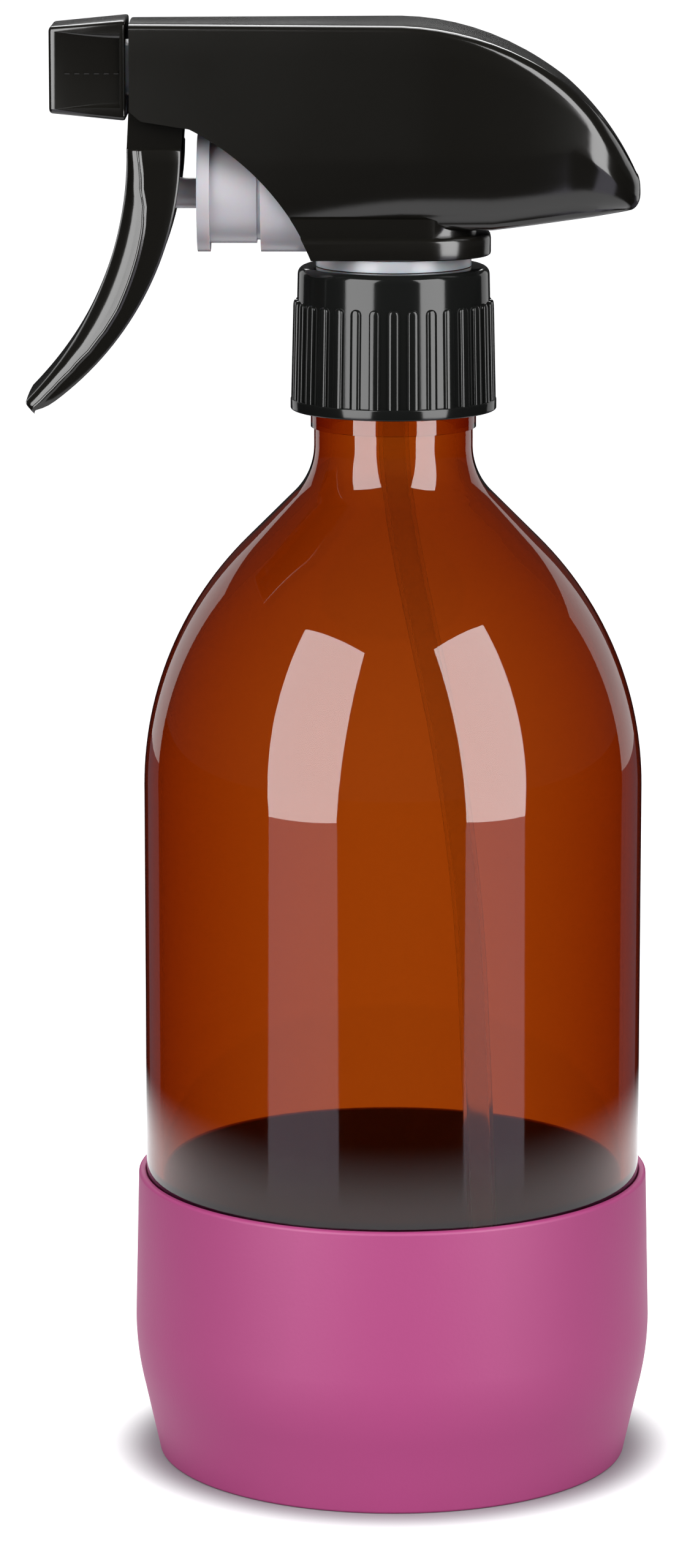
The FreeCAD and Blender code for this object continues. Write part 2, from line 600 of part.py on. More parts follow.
def make_retainer():
    body = new_body("tube_retainer", height="retainer_top")
    socket = "tube_radius + tube_gap"
    hub = socket + " + hub_wall"
    socket_top = "socket_depth - hub_depth"
    seat = "seat_floor - retainer_top"
    under = "0 - retainer_flange"
    profile = draw(body, "retainer_outline", "XZ_Plane", [
        (socket, "0 - hub_depth"),
        (hub, "0 - hub_depth"),
        (hub, "0 - web_thickness"),
        ("plug_radius - plug_wall", "0 - web_thickness"),
        ("plug_radius - plug_wall", under + " - plug_depth"),
        ("plug_radius", under + " - plug_depth"),
        ("plug_radius", under),
        ("seal_radius", under),
        ("seal_radius", "0"),
        ("collar_radius", "0"),
        ("collar_radius", "collar_height"),
        ("collar_radius - collar_wall", "collar_height"),
        ("collar_radius - collar_wall", "0"),
        ("chamber_radius", "0"),
        ("chamber_radius", seat + " + chamber_radius - ball_port"),
        ("ball_port", seat),
        ("ball_port", socket_top),
        (socket, socket_top),
    ])
    spin(body, profile)
    return body


def make_ball():
    ball = doc.addObject("Part::Sphere", "intake_ball")
    ball.Label = "intake_ball"
    ball.setExpression("Radius", full("ball_radius"))
    ball.setExpression("Placement.Base.z", full("ball_centre"))
    return ball


def bent_tube(points, radius, bore):
    """A tube along straight runs joined by arcs as large as the runs allow."""
    edges = []
    at = points[0]
    for before, corner, after in zip(points, points[1:], points[2:]):
        inward = (before - corner).normalize()
        onward = (after - corner).normalize()
        turn = math.pi - inward.getAngle(onward)
        reach = 0.45 * min((before - corner).Length, (after - corner).Length)
        bend = reach / math.tan(turn / 2)
        print("tube bend radius %.1f mm" % bend)
        start = corner + inward * reach
        finish = corner + onward * reach
        halfway = (inward + onward).normalize()
        depth = bend / math.cos(turn / 2) - bend
        edges.append(Part.LineSegment(at, start).toShape())
        edges.append(Part.Arc(start, corner + halfway * depth, finish).toShape())
        at = finish
    edges.append(Part.LineSegment(at, points[-1]).toShape())
    path = Part.Wire(edges)
    forward = (points[1] - points[0]).normalize()
    solids = []
    for size in (radius, bore):
        section = Part.Wire([Part.Circle(points[0], forward, size).toShape()])
        solids.append(path.makePipeShell([section], True, False))
    return solids[0].cut(solids[1])


def make_dip_tube():
    tube = doc.addObject("Part::Feature", "dip_tube")
    tube.Label = "dip_tube"
    top = worth("tube_top")
    route = [
        Vector(0, 0, top),
        Vector(0, 0, top - worth("tube_bend_drop")),
        Vector(worth("tube_lean"), 0, worth("sleeve_floor + tube_lean_height")),
        Vector(worth("tube_foot_lean"), 0, worth("tube_foot")),
    ]
    tube.Shape = bent_tube(route, worth("tube_radius"), worth("tube_bore"))
    return tube


def make_pump():
    """The moulded pump body, in a frame whose floor is the top of its round deck."""
    body = new_body("pump_body", height="deck")
    spigot = "retainer_top - deck"
    snap = "collar_radius + snap_gap"
    pocket = spigot + " + collar_height + snap_gap"
    stub = "chamber_radius - snap_gap * 2"
    base = draw(body, "pump_base", "XZ_Plane", [
        ("passage", "stub_foot - deck"),
        (stub, "stub_foot - deck"),
        (stub, pocket),
        (snap, pocket),
        (snap, spigot),
        ("spigot_radius", spigot),
        ("spigot_radius", "0 - deck_height"),
        ("deck_radius", "0 - deck_height"),
        ("deck_radius", "0"),
        ("housing_radius - 0.4", "0"),
        ("housing_radius - 0.4", "piston_rise"),
        ("passage", "piston_rise"),
    ])
    spin(body, base)
    housing = disc(body, "housing", "YZ_Plane", "0", "piston_rise", "housing_radius",
                   offset="0 - housing_front")
    pad(body, housing, "housing_front + housing_back")
    riser = disc(body, "riser", "XY_Plane", "0 - riser_reach", "0", "riser_radius",
                 offset="piston_rise")
    pad(body, riser, "outlet_rise - piston_rise")
    web = draw(body, "web", "XZ_Plane", box_corners(
        "0 - riser_reach", "web_back", "piston_rise", "outlet_rise"))
    pad(body, web, "web_width", symmetric=True)
    outlet = disc(body, "outlet", "YZ_Plane", "0", "outlet_rise", "outlet_radius",
                  offset="0 - outlet_nose")
    pad(body, outlet, "outlet_nose - outlet_back")
    lug = disc(body, "pivot_lug", "XZ_Plane", "0 - pivot_reach", "pivot_rise", "lug_radius")
    pad(body, lug, "2 * lug_half", symmetric=True)
    keel = draw(body, "keel", "XZ_Plane", box_corners(
        "0 - pivot_reach", "0 - riser_reach", "outlet_rise - outlet_radius - lug_radius / 2",
        "outlet_rise - outlet_radius / 2"))
    pad(body, keel, "web_width", symmetric=True)
    groove = new_sketch(body, "collar_groove", "XY_Plane", offset=pocket)
    ring(groove, snap)
    ring(groove, stub)
    cut(body, groove, "%s - (%s)" % (pocket, spigot))
    socket = disc(body, "cylinder_socket", "YZ_Plane", "0", "piston_rise",
                  "cylinder_plug + snap_gap", offset="0 - housing_front")
    cut(body, socket, "housing_front - cylinder_end + snap_gap", backwards=True)
    intake = disc(body, "intake", "YZ_Plane", "0", "piston_rise", "passage",
                  offset="0 - cylinder_end - snap_gap")
    cut(body, intake, "cylinder_end + snap_gap", backwards=True)
    rise = disc(body, "intake_rise", "XY_Plane", "0", "0", "passage", offset="stub_foot - deck")
    cut(body, rise, "piston_rise + deck - stub_foot", backwards=True)
    delivery = disc(body, "delivery", "XY_Plane", "0 - riser_reach", "0", "passage",
                    offset="piston_rise")
    cut(body, delivery, "outlet_rise - piston_rise", backwards=True)
    bore = disc(body, "outlet_channel", "YZ_Plane", "0", "outlet_rise", "outlet_bore",
                offset="0 - valve_seat_reach")
    cut(body, bore, "valve_seat_reach - riser_reach + passage", backwards=True)
    chamber = disc(body, "valve_chamber", "YZ_Plane", "0", "outlet_rise", "valve_bore",
                   offset="0 - outlet_nose")
    cut(body, chamber, "outlet_nose - valve_seat_reach", backwards=True)
    pivot = disc(body, "pivot_bore", "XZ_Plane", "0 - pivot_reach", "pivot_rise",
                 "pivot_pin + piston_gap")
    cut(body, pivot, "2 * lug_half", symmetric=True)
    return body


def make_cylinder():
    body = new_body("pump_cylinder", height="piston_axis")
    shoulder = "0 - housing_front - cylinder_slot"
    profile = draw(body, "cylinder_outline", "XZ_Plane", [
        ("0 - cylinder_mouth", "cylinder_bore"),
        ("0 - cylinder_end - cylinder_floor", "cylinder_bore"),
        ("0 - cylinder_end - cylinder_floor", "passage"),
        ("0 - cylinder_end", "passage"),
        ("0 - cylinder_end", "cylinder_plug"),
        (shoulder, "cylinder_plug"),
        (shoulder, "cylinder_radius"),
        ("cylinder_flange - cylinder_mouth", "cylinder_radius"),
        ("cylinder_flange - cylinder_mouth", "housing_radius"),
        ("0 - cylinder_mouth", "housing_radius"),
    ])
    spin(body, profile, axis="H_Axis")
    port = disc(body, "delivery_port", "XY_Plane", "0 - riser_reach", "0", "passage")
    cut(body, port, "cylinder_radius", backwards=True)
    return body


def make_piston():
    body = new_body("piston_rod", height="piston_axis")
    tip = "0 - pivot_reach - pad_reach + tip_gap"
    head_back = "head_length - head_front"
    profile = draw(body, "piston_outline", "XZ_Plane", [
        (tip, "0"),
        (head_back + " + cup_length + nose_length", "0"),
        (head_back + " + cup_length + nose_length", "nose_radius"),
        (head_back, "nose_radius"),
        (head_back, "cylinder_bore - head_inset"),
        ("0 - head_front", "cylinder_bore - head_inset"),
        ("0 - head_front", "rod_radius"),
        (tip + " + rod_radius", "rod_radius", "rod_radius", "left"),
    ])
    spin(body, profile, axis="H_Axis")
    return body


def make_cup():
    body = new_body("piston_cup", height="piston_axis")
    front = "head_length - head_front"
    back = front + " + cup_length"
    skin = "cylinder_bore - piston_gap"
    profile = draw(body, "cup_outline", "XZ_Plane", [
        (front, "nose_radius"),
        (back, "nose_radius"),
        (back, "spring_radius + spring_wire"),
        (back + " - cup_lip", skin + " - cup_lip_wall"),
        (back, skin + " - cup_lip_wall / 2"),
        (back, skin),
        (front, skin),
    ])
    spin(body, profile, axis="H_Axis")
    return body


def make_coil(label, front, back, height, radius, wire, turns):
    """A compression spring along X, from front to back."""
    body = new_body(label, along=front + " + (" + wire + ") / 2", height=height)
    body.Placement.Rotation = FreeCAD.Rotation(Vector(0, 1, 0), 90)
    section = disc(body, label + "_wire", "XZ_Plane", radius, "0", wire + " / 2")
    length = "(" + back + ") - (" + front + ") - (" + wire + ")"
    wind(body, section, "(" + length + ") / " + turns, turns)
    return body


def make_piston_spring():
    return make_coil("piston_spring", "head_length - head_front + cup_length",
                     "0 - cylinder_end - cylinder_floor", "piston_axis", "spring_radius",
                     "spring_wire", "spring_turns")


def make_trigger():
    """The lever, in a frame whose origin is its pivot."""
    body = new_body("trigger_lever", along="0 - pivot_reach", height="deck + pivot_rise")
    lower = draw(body, "finger_blade", "XZ_Plane", [
        ("0 - trigger_front", "0 - ledge_drop", "front_curve", "right"),
        ("0 - tip_front_reach", "0 - tip_front_drop"),
        ("0 - tip_low_reach", "0 - tip_low_drop"),
        ("0 - tip_back_reach", "0 - tip_back_drop", "back_curve", "left"),
        ("trigger_back", "0 - ledge_drop"),
    ])
    pad(body, lower, "2 * trigger_half", symmetric=True)
    half = worth("trigger_half")
    front = worth("front_curve")

    def on_front(edge):
        curve = edge.Curve
        return isinstance(curve, Part.Circle) and abs(curve.Radius - front) < 0.01

    soften(body, "finger_rounding", "finger_round", on_front)
    channel = draw(body, "channel", "XZ_Plane", [
        ("trigger_wall - trigger_front", "0 - ledge_drop - trigger_wall",
         "front_curve + trigger_wall", "right"),
        ("trigger_wall * 1.5 - tip_front_reach", "trigger_wall - tip_front_drop"),
        ("trigger_wall - tip_front_reach + trigger_back * 4", "0 - tip_front_drop"),
        ("trigger_back * 4", "0 - ledge_drop - trigger_wall"),
    ])
    cut(body, channel, "2 * (trigger_half - trigger_wall)", symmetric=True)
    neck = draw(body, "yoke", "XZ_Plane", [
        ("0 - yoke_front", "0"),
        ("0 - trigger_front", "0 - ledge_drop - trigger_wall"),
        ("trigger_back", "0 - ledge_drop - trigger_wall"),
        ("yoke_back", "0 - lug_radius"),
        ("yoke_head", "0", "yoke_head", "left"),
        ("0", "yoke_head", "yoke_head", "left"),
        ("0 - yoke_head", "0"),
    ])
    pad(body, neck, "2 * arm_outer", symmetric=True)
    throat = draw(body, "throat", "XZ_Plane", box_corners(
        "0 - 2 * trigger_front", "2 * trigger_back", "0 - lug_radius - arm_gap * 2",
        "2 * lug_radius"))
    cut(body, throat, "2 * (lug_half + arm_gap)", symmetric=True)
    opening = draw(body, "ledge_opening", "XZ_Plane", box_corners(
        "trigger_wall - trigger_front", "2 * trigger_back",
        "0 - ledge_drop - 2 * trigger_wall", "0 - lug_radius"))
    cut(body, opening, "2 * (lug_half + arm_gap)", symmetric=True)
    for name, side in (("near_pin", -1), ("far_pin", 1)):
        start = "%d * (lug_half + arm_gap)" % side
        pin = disc(body, name, "XZ_Plane", "0", "0", "pivot_pin", offset="0 - (%s)" % start)
        pad(body, pin, "pin_length", backwards=side < 0)
    seat = draw(body, "rod_seat", "XZ_Plane", box_corners(
        "0 - pad_reach", "trigger_wall - pad_reach", "piston_rise - pivot_rise - pad_half",
        "piston_rise - pivot_rise + pad_half"))
    cut(body, seat, "2 * pad_half", symmetric=True)
    return body


def shroud_corners(inset):
    """The shroud's outline from above, moved in by the inset."""
    front = "0 - shroud_front - (%s)" % inset
    slim = "shroud_slim - (%s)" % inset
    wide = "shroud_wide - (%s)" % inset
    blend_at = "tail_blend_at - (%s) * 0.63" % inset
    blend_half = "tail_blend_half - (%s) * 0.78" % inset
    side = "side_round - (%s)" % inset
    tail = "tail_round - (%s)" % inset
    return [
        (front, "0 - (%s)" % slim),
        ("shroud_wide_at", "0 - (%s)" % wide, side, "left"),
        (blend_at, "0 - (%s)" % blend_half, tail, "left"),
        (blend_at, blend_half, side, "left"),
        ("shroud_wide_at", wide),
        (front, slim),
    ]


def trim(body, name, role, corners, reach):
    """Keeps only what lies inside an outline."""
    sketch = draw(body, name, role, corners)
    outline(sketch, box_corners("0 - " + reach, reach, "0 - " + reach, reach))
    return cut(body, sketch, "2 * " + reach, symmetric=True)


def belly_corners(inset):
    """The shroud's outline from the front: upright sides that draw in towards its foot."""
    half = "shroud_wide + belly_room - (%s)" % inset
    low = "shroud_wide + belly_room - belly_in - (%s)" % inset
    foot = "shroud_foot + (%s)" % inset
    bend = "belly_round - (%s)" % inset
    flat = "%s - (%s) * 0.82" % (low, bend)
    side = "%s + (%s) * 0.43" % (foot, bend)
    return [
        ("0 - (%s)" % flat, foot),
        (flat, foot, bend, "left"),
        (low, side, "belly_curve", "left"),
        (half, "shroud_foot + belly_rise"),
        (half, "2 * shroud_top"),
        ("0 - (%s)" % half, "2 * shroud_top"),
        ("0 - (%s)" % half, "shroud_foot + belly_rise", "belly_curve", "left"),
        ("0 - (%s)" % low, side, bend, "left"),
    ]


def shroud_form(label, inset):
    """A closed form of the shroud: its side view given its width, then cut to its plan."""
    body = new_body(label, height="deck")
    front = "0 - shroud_front - (%s)" % inset
    foot = "shroud_foot + (%s)" % inset
    top = "shroud_top - (%s)" % inset
    side = draw(body, label + "_side", "XZ_Plane", [
        (front, top),
        (front, foot),
        ("collar_back", foot),
        ("tail_low_at - (%s) * 0.5" % inset, "tail_low_rise + (%s) * 0.9" % inset,
         "tail_nose - (%s)" % inset, "left"),
        ("tail_slope_at - (%s) * 0.9" % inset, "tail_slope_rise - (%s) * 0.2" % inset,
         "tail_slope_round - (%s)" % inset, "left"),
        ("back_curve_at - (%s) * 0.65" % inset,
         "shroud_top - back_curve_drop - (%s) * 0.76" % inset,
         "back_round - (%s)" % inset, "left"),
        ("0", top),
    ])
    pad(body, side, "4 * shroud_wide", symmetric=True)
    trim(body, label + "_plan", "XY_Plane", shroud_corners(inset), "3 * tail_end")
    trim(body, label + "_belly", "YZ_Plane", belly_corners(inset), "3 * tail_end")
    return body


def lengthwise(edge, low):
    """True on an edge that runs along the form, higher than low above the deck."""
    middle = edge.valueAt((edge.FirstParameter + edge.LastParameter) / 2).z
    return edge.BoundBox.XLength > 0.5 and middle > low and edge.BoundBox.YLength > 0.1


def collar(body, name, inset, foot, height):
    """The shroud's square foot, from above."""
    front = "0 - shroud_front - (%s)" % inset
    half = "collar_half - (%s)" % inset
    back = "collar_back - (%s)" % inset
    bend = "collar_round - (%s)" % inset
    sketch = draw(body, name, "XY_Plane", [
        (front, "0 - (%s)" % half),
        ("collar_back - collar_round", "0 - (%s)" % half, bend, "left"),
        (back, "0 - collar_half + collar_round"),
        (back, "collar_half - collar_round", bend, "left"),
        ("collar_back - collar_round", half),
        (front, half),
    ], offset=foot)
    return pad(body, sketch, height)


def make_shroud():
    outer = shroud_form("shroud_outside", "0")
    upper = worth("tail_slope_rise")
    soften(outer, "shroud_top_edge", "shroud_edge", lambda e: lengthwise(e, upper))
    collar(outer, "collar_outside", "0", "shroud_lift", "collar_rise")
    collar(outer, "crease_outside", "crease_depth", "shroud_lift", "shroud_foot + shroud_wall")
    hollow = draw(outer, "front_cut", "XZ_Plane", [
        ("0 - 2 * shroud_front", "0 - shroud_foot"),
        ("0 - cut_foot_at", "0 - shroud_foot"),
        ("0 - cut_foot_at", "shroud_lift", "cut_round", "left"),
        ("0 - cut_top_at", "cut_top_rise"),
        ("0 - brow_at", "brow_rise"),
        ("0 - shroud_front", "brow_rise + brow_bevel"),
        ("0 - 2 * shroud_front", "brow_rise + brow_bevel"),
    ])
    cut(outer, hollow, "4 * shroud_wide", symmetric=True)
    inner = shroud_form("shroud_inside", "shroud_wall")
    collar(inner, "collar_inside", "shroud_wall", "0 - shroud_foot",
           "shroud_foot + shroud_lift + collar_rise - shroud_wall")
    collar(inner, "crease_inside", "crease_depth + shroud_wall", "0 - shroud_foot",
           "2 * shroud_foot + 3 * shroud_wall")
    shell = doc.addObject("Part::Cut", "shroud_shell")
    shell.Base = outer
    shell.Tool = inner
    rails = new_body("shroud_rails", height="deck")
    foot = "outlet_rise + outlet_radius + snap_gap"
    for name, at in (("front_rail", "front_rail_at"), ("back_rail", "back_rail_at")):
        rail = draw(rails, name, "XZ_Plane", box_corners(
            "0 - %s - rail_half" % at, "rail_half - " + at, foot,
            "shroud_top - shroud_wall / 2"))
        pad(rails, rail, "rail_width", symmetric=True)
    joined = doc.addObject("Part::Fuse", "shroud")
    joined.Label = "shroud"
    joined.Base = shell
    joined.Tool = rails
    doc.recompute()
    return joined


def make_nozzle():
    body = new_body("nozzle_cap", height="outlet_axis")
    back_square = draw(body, "nozzle_back_outline", "YZ_Plane", box_corners(
        "0 - nozzle_back_half", "nozzle_back_half", "0 - nozzle_back_half",
        "nozzle_back_half"), offset="0 - nozzle_back")
    front_square = draw(body, "nozzle_front_outline", "YZ_Plane", box_corners(
        "0 - nozzle_front_half", "nozzle_front_half", "0 - nozzle_front_half",
        "nozzle_front_half"), offset="0 - nozzle_front")
    block = body.newObject("PartDesign::AdditiveLoft", "nozzle_block")
    block.Profile = back_square
    block.Sections = [front_square]
    block.Ruled = True
    settle(block)
    soften(body, "nozzle_edges", "nozzle_edge", lambda edge: True)
    room = "nozzle_front_half - nozzle_shell"
    hollow = draw(body, "nozzle_hollow", "YZ_Plane", box_corners(
        "0 - (%s)" % room, room, "0 - (%s)" % room, room), offset="0 - nozzle_back")
    cut(body, hollow, "nozzle_length - nozzle_wall")
    hub = disc(body, "nozzle_hub_outline", "YZ_Plane", "0", "0",
               "outlet_radius + nozzle_gap + nozzle_hub", offset="0 - nozzle_back")
    pad(body, hub, "nozzle_length - nozzle_wall / 2", backwards=True)
    bore = disc(body, "nozzle_bore", "YZ_Plane", "0", "0", "outlet_radius + nozzle_gap",
                offset="0 - nozzle_back")
    cut(body, bore, "nozzle_length - nozzle_wall")
    spray = disc(body, "spray_hole", "YZ_Plane", "0", "0", "orifice", offset="0 - nozzle_back")
    cut(body, spray, "2 * nozzle_length")
    slope = "(nozzle_back_half - nozzle_front_half) / nozzle_length"
    near_half = "nozzle_back_half - grip_lip * %s - grip_depth" % slope
    far_half = "nozzle_front_half + grip_front * %s" % slope
    for name, side in (("near_grip", "-1 * "), ("far_grip", "")):
        corners = [
            ("grip_front - nozzle_front", side + "2 * nozzle_back_half"),
            ("grip_front - nozzle_front", side + "(%s)" % far_half),
            ("0 - nozzle_back - grip_lip", side + "(%s)" % near_half),
            ("0 - nozzle_back - grip_lip", side + "2 * nozzle_back_half"),
        ]
        grip = draw(body, name, "XY_Plane", corners)
        cut(body, grip, "2 * grip_half", symmetric=True)
    return body


def make_nozzle_seal():
    body = new_body("nozzle_seal", height="outlet_axis")
    profile = draw(body, "nozzle_seal_ring", "XZ_Plane", box_corners(
        "nozzle_wall - nozzle_front", "nozzle_wall + nozzle_seal_thickness - nozzle_front",
        "outlet_radius - nozzle_seal_width", "outlet_radius"))
    spin(body, profile, axis="H_Axis")
    return body


def make_spinner():
    body = new_body("spinner", height="outlet_axis")
    side = "valve_bore - snap_gap"
    profile = draw(body, "spinner_outline", "XZ_Plane", [
        ("0 - outlet_nose", "0"),
        ("spinner_floor - outlet_nose", "0"),
        ("spinner_floor - outlet_nose", "spinner_bore"),
        ("spinner_length - outlet_nose", "spinner_bore"),
        ("spinner_length - outlet_nose", side),
        ("0 - outlet_nose", side),
    ])
    spin(body, profile, axis="H_Axis")
    groove = draw(body, "spinner_groove", "YZ_Plane", box_corners(
        "0 - swirl_slot / 2", "swirl_slot / 2", side + " - swirl_depth", "2 * valve_bore"),
        offset="0 - outlet_nose")
    along = cut(body, groove, "spinner_length", backwards=True)
    slot = draw(body, "swirl_slot_outline", "YZ_Plane", box_corners(
        "0 - swirl_slot / 2", "swirl_slot / 2", "0", "2 * valve_bore"),
        offset="0 - outlet_nose")
    across = cut(body, slot, "swirl_depth", backwards=True)
    pattern = body.newObject("PartDesign::PolarPattern", "swirl_slots")
    pattern.Originals = [along, across]
    pattern.Axis = (slot, ["N_Axis"])
    pattern.Angle = 360
    pattern.setExpression("Occurrences", full("swirl_count"))
    body.Tip = pattern
    settle(pattern)
    return body


def make_outlet_valve():
    body = new_body("outlet_valve", height="outlet_axis")
    back = "0 - valve_seat_reach - poppet_gap"
    front = back + " - poppet_thickness"
    profile = draw(body, "poppet_outline", "XZ_Plane", [
        (front + " - poppet_nose_length", "0"),
        (back, "0"),
        (back, "poppet_radius"),
        (front, "poppet_radius"),
        (front, "poppet_nose"),
        (front + " - poppet_nose_length", "poppet_nose"),
    ])
    spin(body, profile, axis="H_Axis")
    return body


def make_outlet_spring():
    return make_coil("outlet_spring", "spinner_length - outlet_nose",
                     "0 - valve_seat_reach - poppet_gap - poppet_thickness", "outlet_axis",
                     "valve_spring_radius", "valve_spring_wire", "valve_spring_turns")


PIECES = [
    make_bottle(), make_sleeve(), make_closure(), make_gasket(), make_retainer(), make_ball(),
    make_dip_tube(), make_pump(), make_cylinder(), make_piston(), make_cup(),
    make_piston_spring(), make_trigger(), make_shroud(), make_nozzle(), make_nozzle_seal(),
    make_spinner(), make_outlet_valve(), make_outlet_spring(),
]
doc.recompute()

for thing in doc.Objects:
    if "Invalid" in thing.State or "Error" in thing.State:
        raise RuntimeError("failed: " + thing.Label)
os.makedirs("parts", exist_ok=True)
for piece in PIECES:
    if piece.Shape.isNull() or not piece.Shape.isValid():
        raise RuntimeError("bad shape: " + piece.Label)
    piece.Shape.exportStep("parts/%s.step" % piece.Label)
    box = piece.Shape.BoundBox
    print("%-16s solids %d volume %9.1f  x %.1f..%.1f y %.1f..%.1f z %.1f..%.1f" % (
        piece.Label, len(piece.Shape.Solids), piece.Shape.Volume,
        box.XMin, box.XMax, box.YMin, box.YMax, box.ZMin, box.ZMax))
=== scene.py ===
# %% [markdown]
# # A trigger spray bottle
# An amber glass bottle stands in a magenta silicone sleeve. A black trigger pump is screwed
# onto its neck. The solids come from the CAD source, and this lesson dresses them: each visible
# form gets a smooth mesh, and each finish gets a material of its own. Lengths are in metres.

# %% Load the solids
import math

import bmesh
import bpy
from mathutils import Matrix, Vector


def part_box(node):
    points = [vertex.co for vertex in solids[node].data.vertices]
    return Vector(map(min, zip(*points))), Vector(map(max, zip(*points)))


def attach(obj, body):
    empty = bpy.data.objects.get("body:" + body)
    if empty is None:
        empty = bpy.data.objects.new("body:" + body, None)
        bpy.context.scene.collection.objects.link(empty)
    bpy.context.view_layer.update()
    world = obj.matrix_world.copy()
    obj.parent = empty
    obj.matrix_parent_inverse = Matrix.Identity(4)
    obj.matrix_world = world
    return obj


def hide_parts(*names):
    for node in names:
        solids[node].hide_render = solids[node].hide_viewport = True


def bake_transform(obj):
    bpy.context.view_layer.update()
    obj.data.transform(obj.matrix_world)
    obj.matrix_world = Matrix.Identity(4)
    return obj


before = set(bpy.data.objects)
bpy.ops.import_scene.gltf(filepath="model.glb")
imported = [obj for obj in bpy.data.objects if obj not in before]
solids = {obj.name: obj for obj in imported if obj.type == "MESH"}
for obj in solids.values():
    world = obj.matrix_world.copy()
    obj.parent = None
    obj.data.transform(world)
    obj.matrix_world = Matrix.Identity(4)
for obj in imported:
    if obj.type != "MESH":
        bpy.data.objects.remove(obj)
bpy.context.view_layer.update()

# %% [markdown]
# ## The camera
# The photograph looks down at the bottle by about eleven degrees from less than a metre, so
# the sleeve's rim shows as an ellipse. Perspective sets that ellipse, so the distance matters
# as much as the angle.

# %% Camera
MM = 0.001
camera_data = bpy.data.cameras.new("photo_camera")
camera = bpy.data.objects.new("photo_camera", camera_data)
bpy.context.scene.collection.objects.link(camera)
bpy.context.scene.camera = camera
camera_data.sensor_width = 36.0
camera_data.lens = 139.5
tilt, pan = math.radians(11.23), math.radians(-0.46)
ahead = Vector((math.sin(pan) * math.cos(tilt), math.cos(pan) * math.cos(tilt), -math.sin(tilt)))
camera.location = (0.0, -0.912, 0.286)
camera.rotation_euler = ahead.to_track_quat("-Z", "Y").to_euler()
camera_data.clip_start = 0.05
bpy.context.scene.view_settings.view_transform = "Standard"
print("camera looks down by", round(math.degrees(tilt), 1), "degrees")

# %% [markdown]
# ## Outlines and skins
# Most of this object is turned: the bottle, the sleeve and the closure. Their outlines are
# straight runs and arcs. `bend` gives the points of one arc, and `turned` spins an outline
# about an axis and closes it at the poles. What isn't round is lofted: `lofted` lays a skin
# over a row of rings.

# %% Helpers for outlines and skins
def arc_middle(start, finish, radius, side):
    """Centre of the short arc between two points; side is 1 if it turns left, -1 if right."""
    a, b = Vector(start), Vector(finish)
    chord = b - a
    rise = math.sqrt(max(radius ** 2 - (chord.length / 2) ** 2, 0.0))
    return (a + b) / 2 + Vector((-chord.y, chord.x)).normalized() * rise * side


def bend(start, finish, radius, turn, steps=16):
    """Points from just after start to finish, along the short arc that turns left or right."""
    a, chord = Vector(start), Vector(finish) - Vector(start)
    side = 1 if turn == "left" else -1
    centre = arc_middle(start, finish, radius, side)
    first = math.atan2(a.y - centre.y, a.x - centre.x)
    sweep = 2 * math.asin(min(1.0, chord.length / 2 / radius)) * side
    spots = [first + sweep * i / steps for i in range(1, steps + 1)]
    return [(centre.x + radius * math.cos(t), centre.y + radius * math.sin(t)) for t in spots]


def outline(*corners, steps=16):
    """Points of an outline in millimetres. A corner is (x, y) or (x, y, radius, turn)."""
    points = []
    for corner, following in zip(corners, corners[1:] + corners[:1]):
        points.append(corner[:2])
        if len(corner) > 2:
            points += bend(corner[:2], following[:2], corner[2], corner[3], steps)[:-1]
    return points


def new_piece(name, mesh, body, material, *stands_for):
    """A mesh as a piece that moves with a body and stands for its solids."""
    piece = bpy.data.objects.new(name, mesh)
    bpy.context.scene.collection.objects.link(piece)
    piece.data.materials.clear()
    piece.data.materials.append(material)
    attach(piece, body)
    if stands_for:
        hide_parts(*stands_for)
    print(name, "faces:", len(piece.data.polygons), "rides on", body)
    return piece


def finish_mesh(bm, name, sharp=32):
    """Merges doubles, turns faces outwards and shades smooth, with sharp edges kept."""
    bmesh.ops.remove_doubles(bm, verts=bm.verts, dist=1e-6)
    bmesh.ops.recalc_face_normals(bm, faces=bm.faces)
    mesh = bpy.data.meshes.new(name)
    bm.to_mesh(mesh)
    bm.free()
    mesh.shade_smooth()
    mesh.set_sharp_from_angle(angle=math.radians(sharp))
    return mesh


def turned(name, points, around=128, along="Z", centre=(0, 0, 0)):
    """A closed solid of revolution from an outline in millimetres, (radius, height) pairs."""
    bm = bmesh.new()
    rings = []
    for radius, height in points:
        if radius < 1e-6:
            rings.append([bm.verts.new((0, 0, height * MM))])
            continue
        ring = []
        for step in range(around):
            angle = 2 * math.pi * step / around
            spot = (radius * math.cos(angle) * MM, radius * math.sin(angle) * MM, height * MM)
            ring.append(bm.verts.new(spot))
        rings.append(ring)
    for one, other in zip(rings, rings[1:] + rings[:1]):
        if len(one) == 1 and len(other) == 1:
            continue
        for step in range(around):
            after = (step + 1) % around
            a = [one[0]] if len(one) == 1 else [one[step], one[after]]
            b = [other[0]] if len(other) == 1 else [other[after], other[step]]
            bm.faces.new(a + b)
    if along == "X":
        bmesh.ops.rotate(bm, verts=bm.verts, matrix=Matrix.Rotation(math.pi / 2, 3, "Y"))
    bmesh.ops.translate(bm, verts=bm.verts, vec=Vector(centre) * MM)
    return finish_mesh(bm, name)


def skin_over(bm, rings):
    """Adds a closed skin over rings of points in millimetres, capped at both ends."""
    loops = [[bm.verts.new(Vector(spot) * MM) for spot in ring] for ring in rings]
    for one, other in zip(loops, loops[1:]):
        for i in range(len(one)):
            j = (i + 1) % len(one)
            bm.faces.new((one[i], one[j], other[j], other[i]))
    bm.faces.new(loops[0])
    bm.faces.new(loops[-1])


def lofted(name, rings, sharp=40):
    """A mesh of one skin over rings that all have the same number of points."""
    bm = bmesh.new()
    skin_over(bm, rings)
    return finish_mesh(bm, name, sharp)


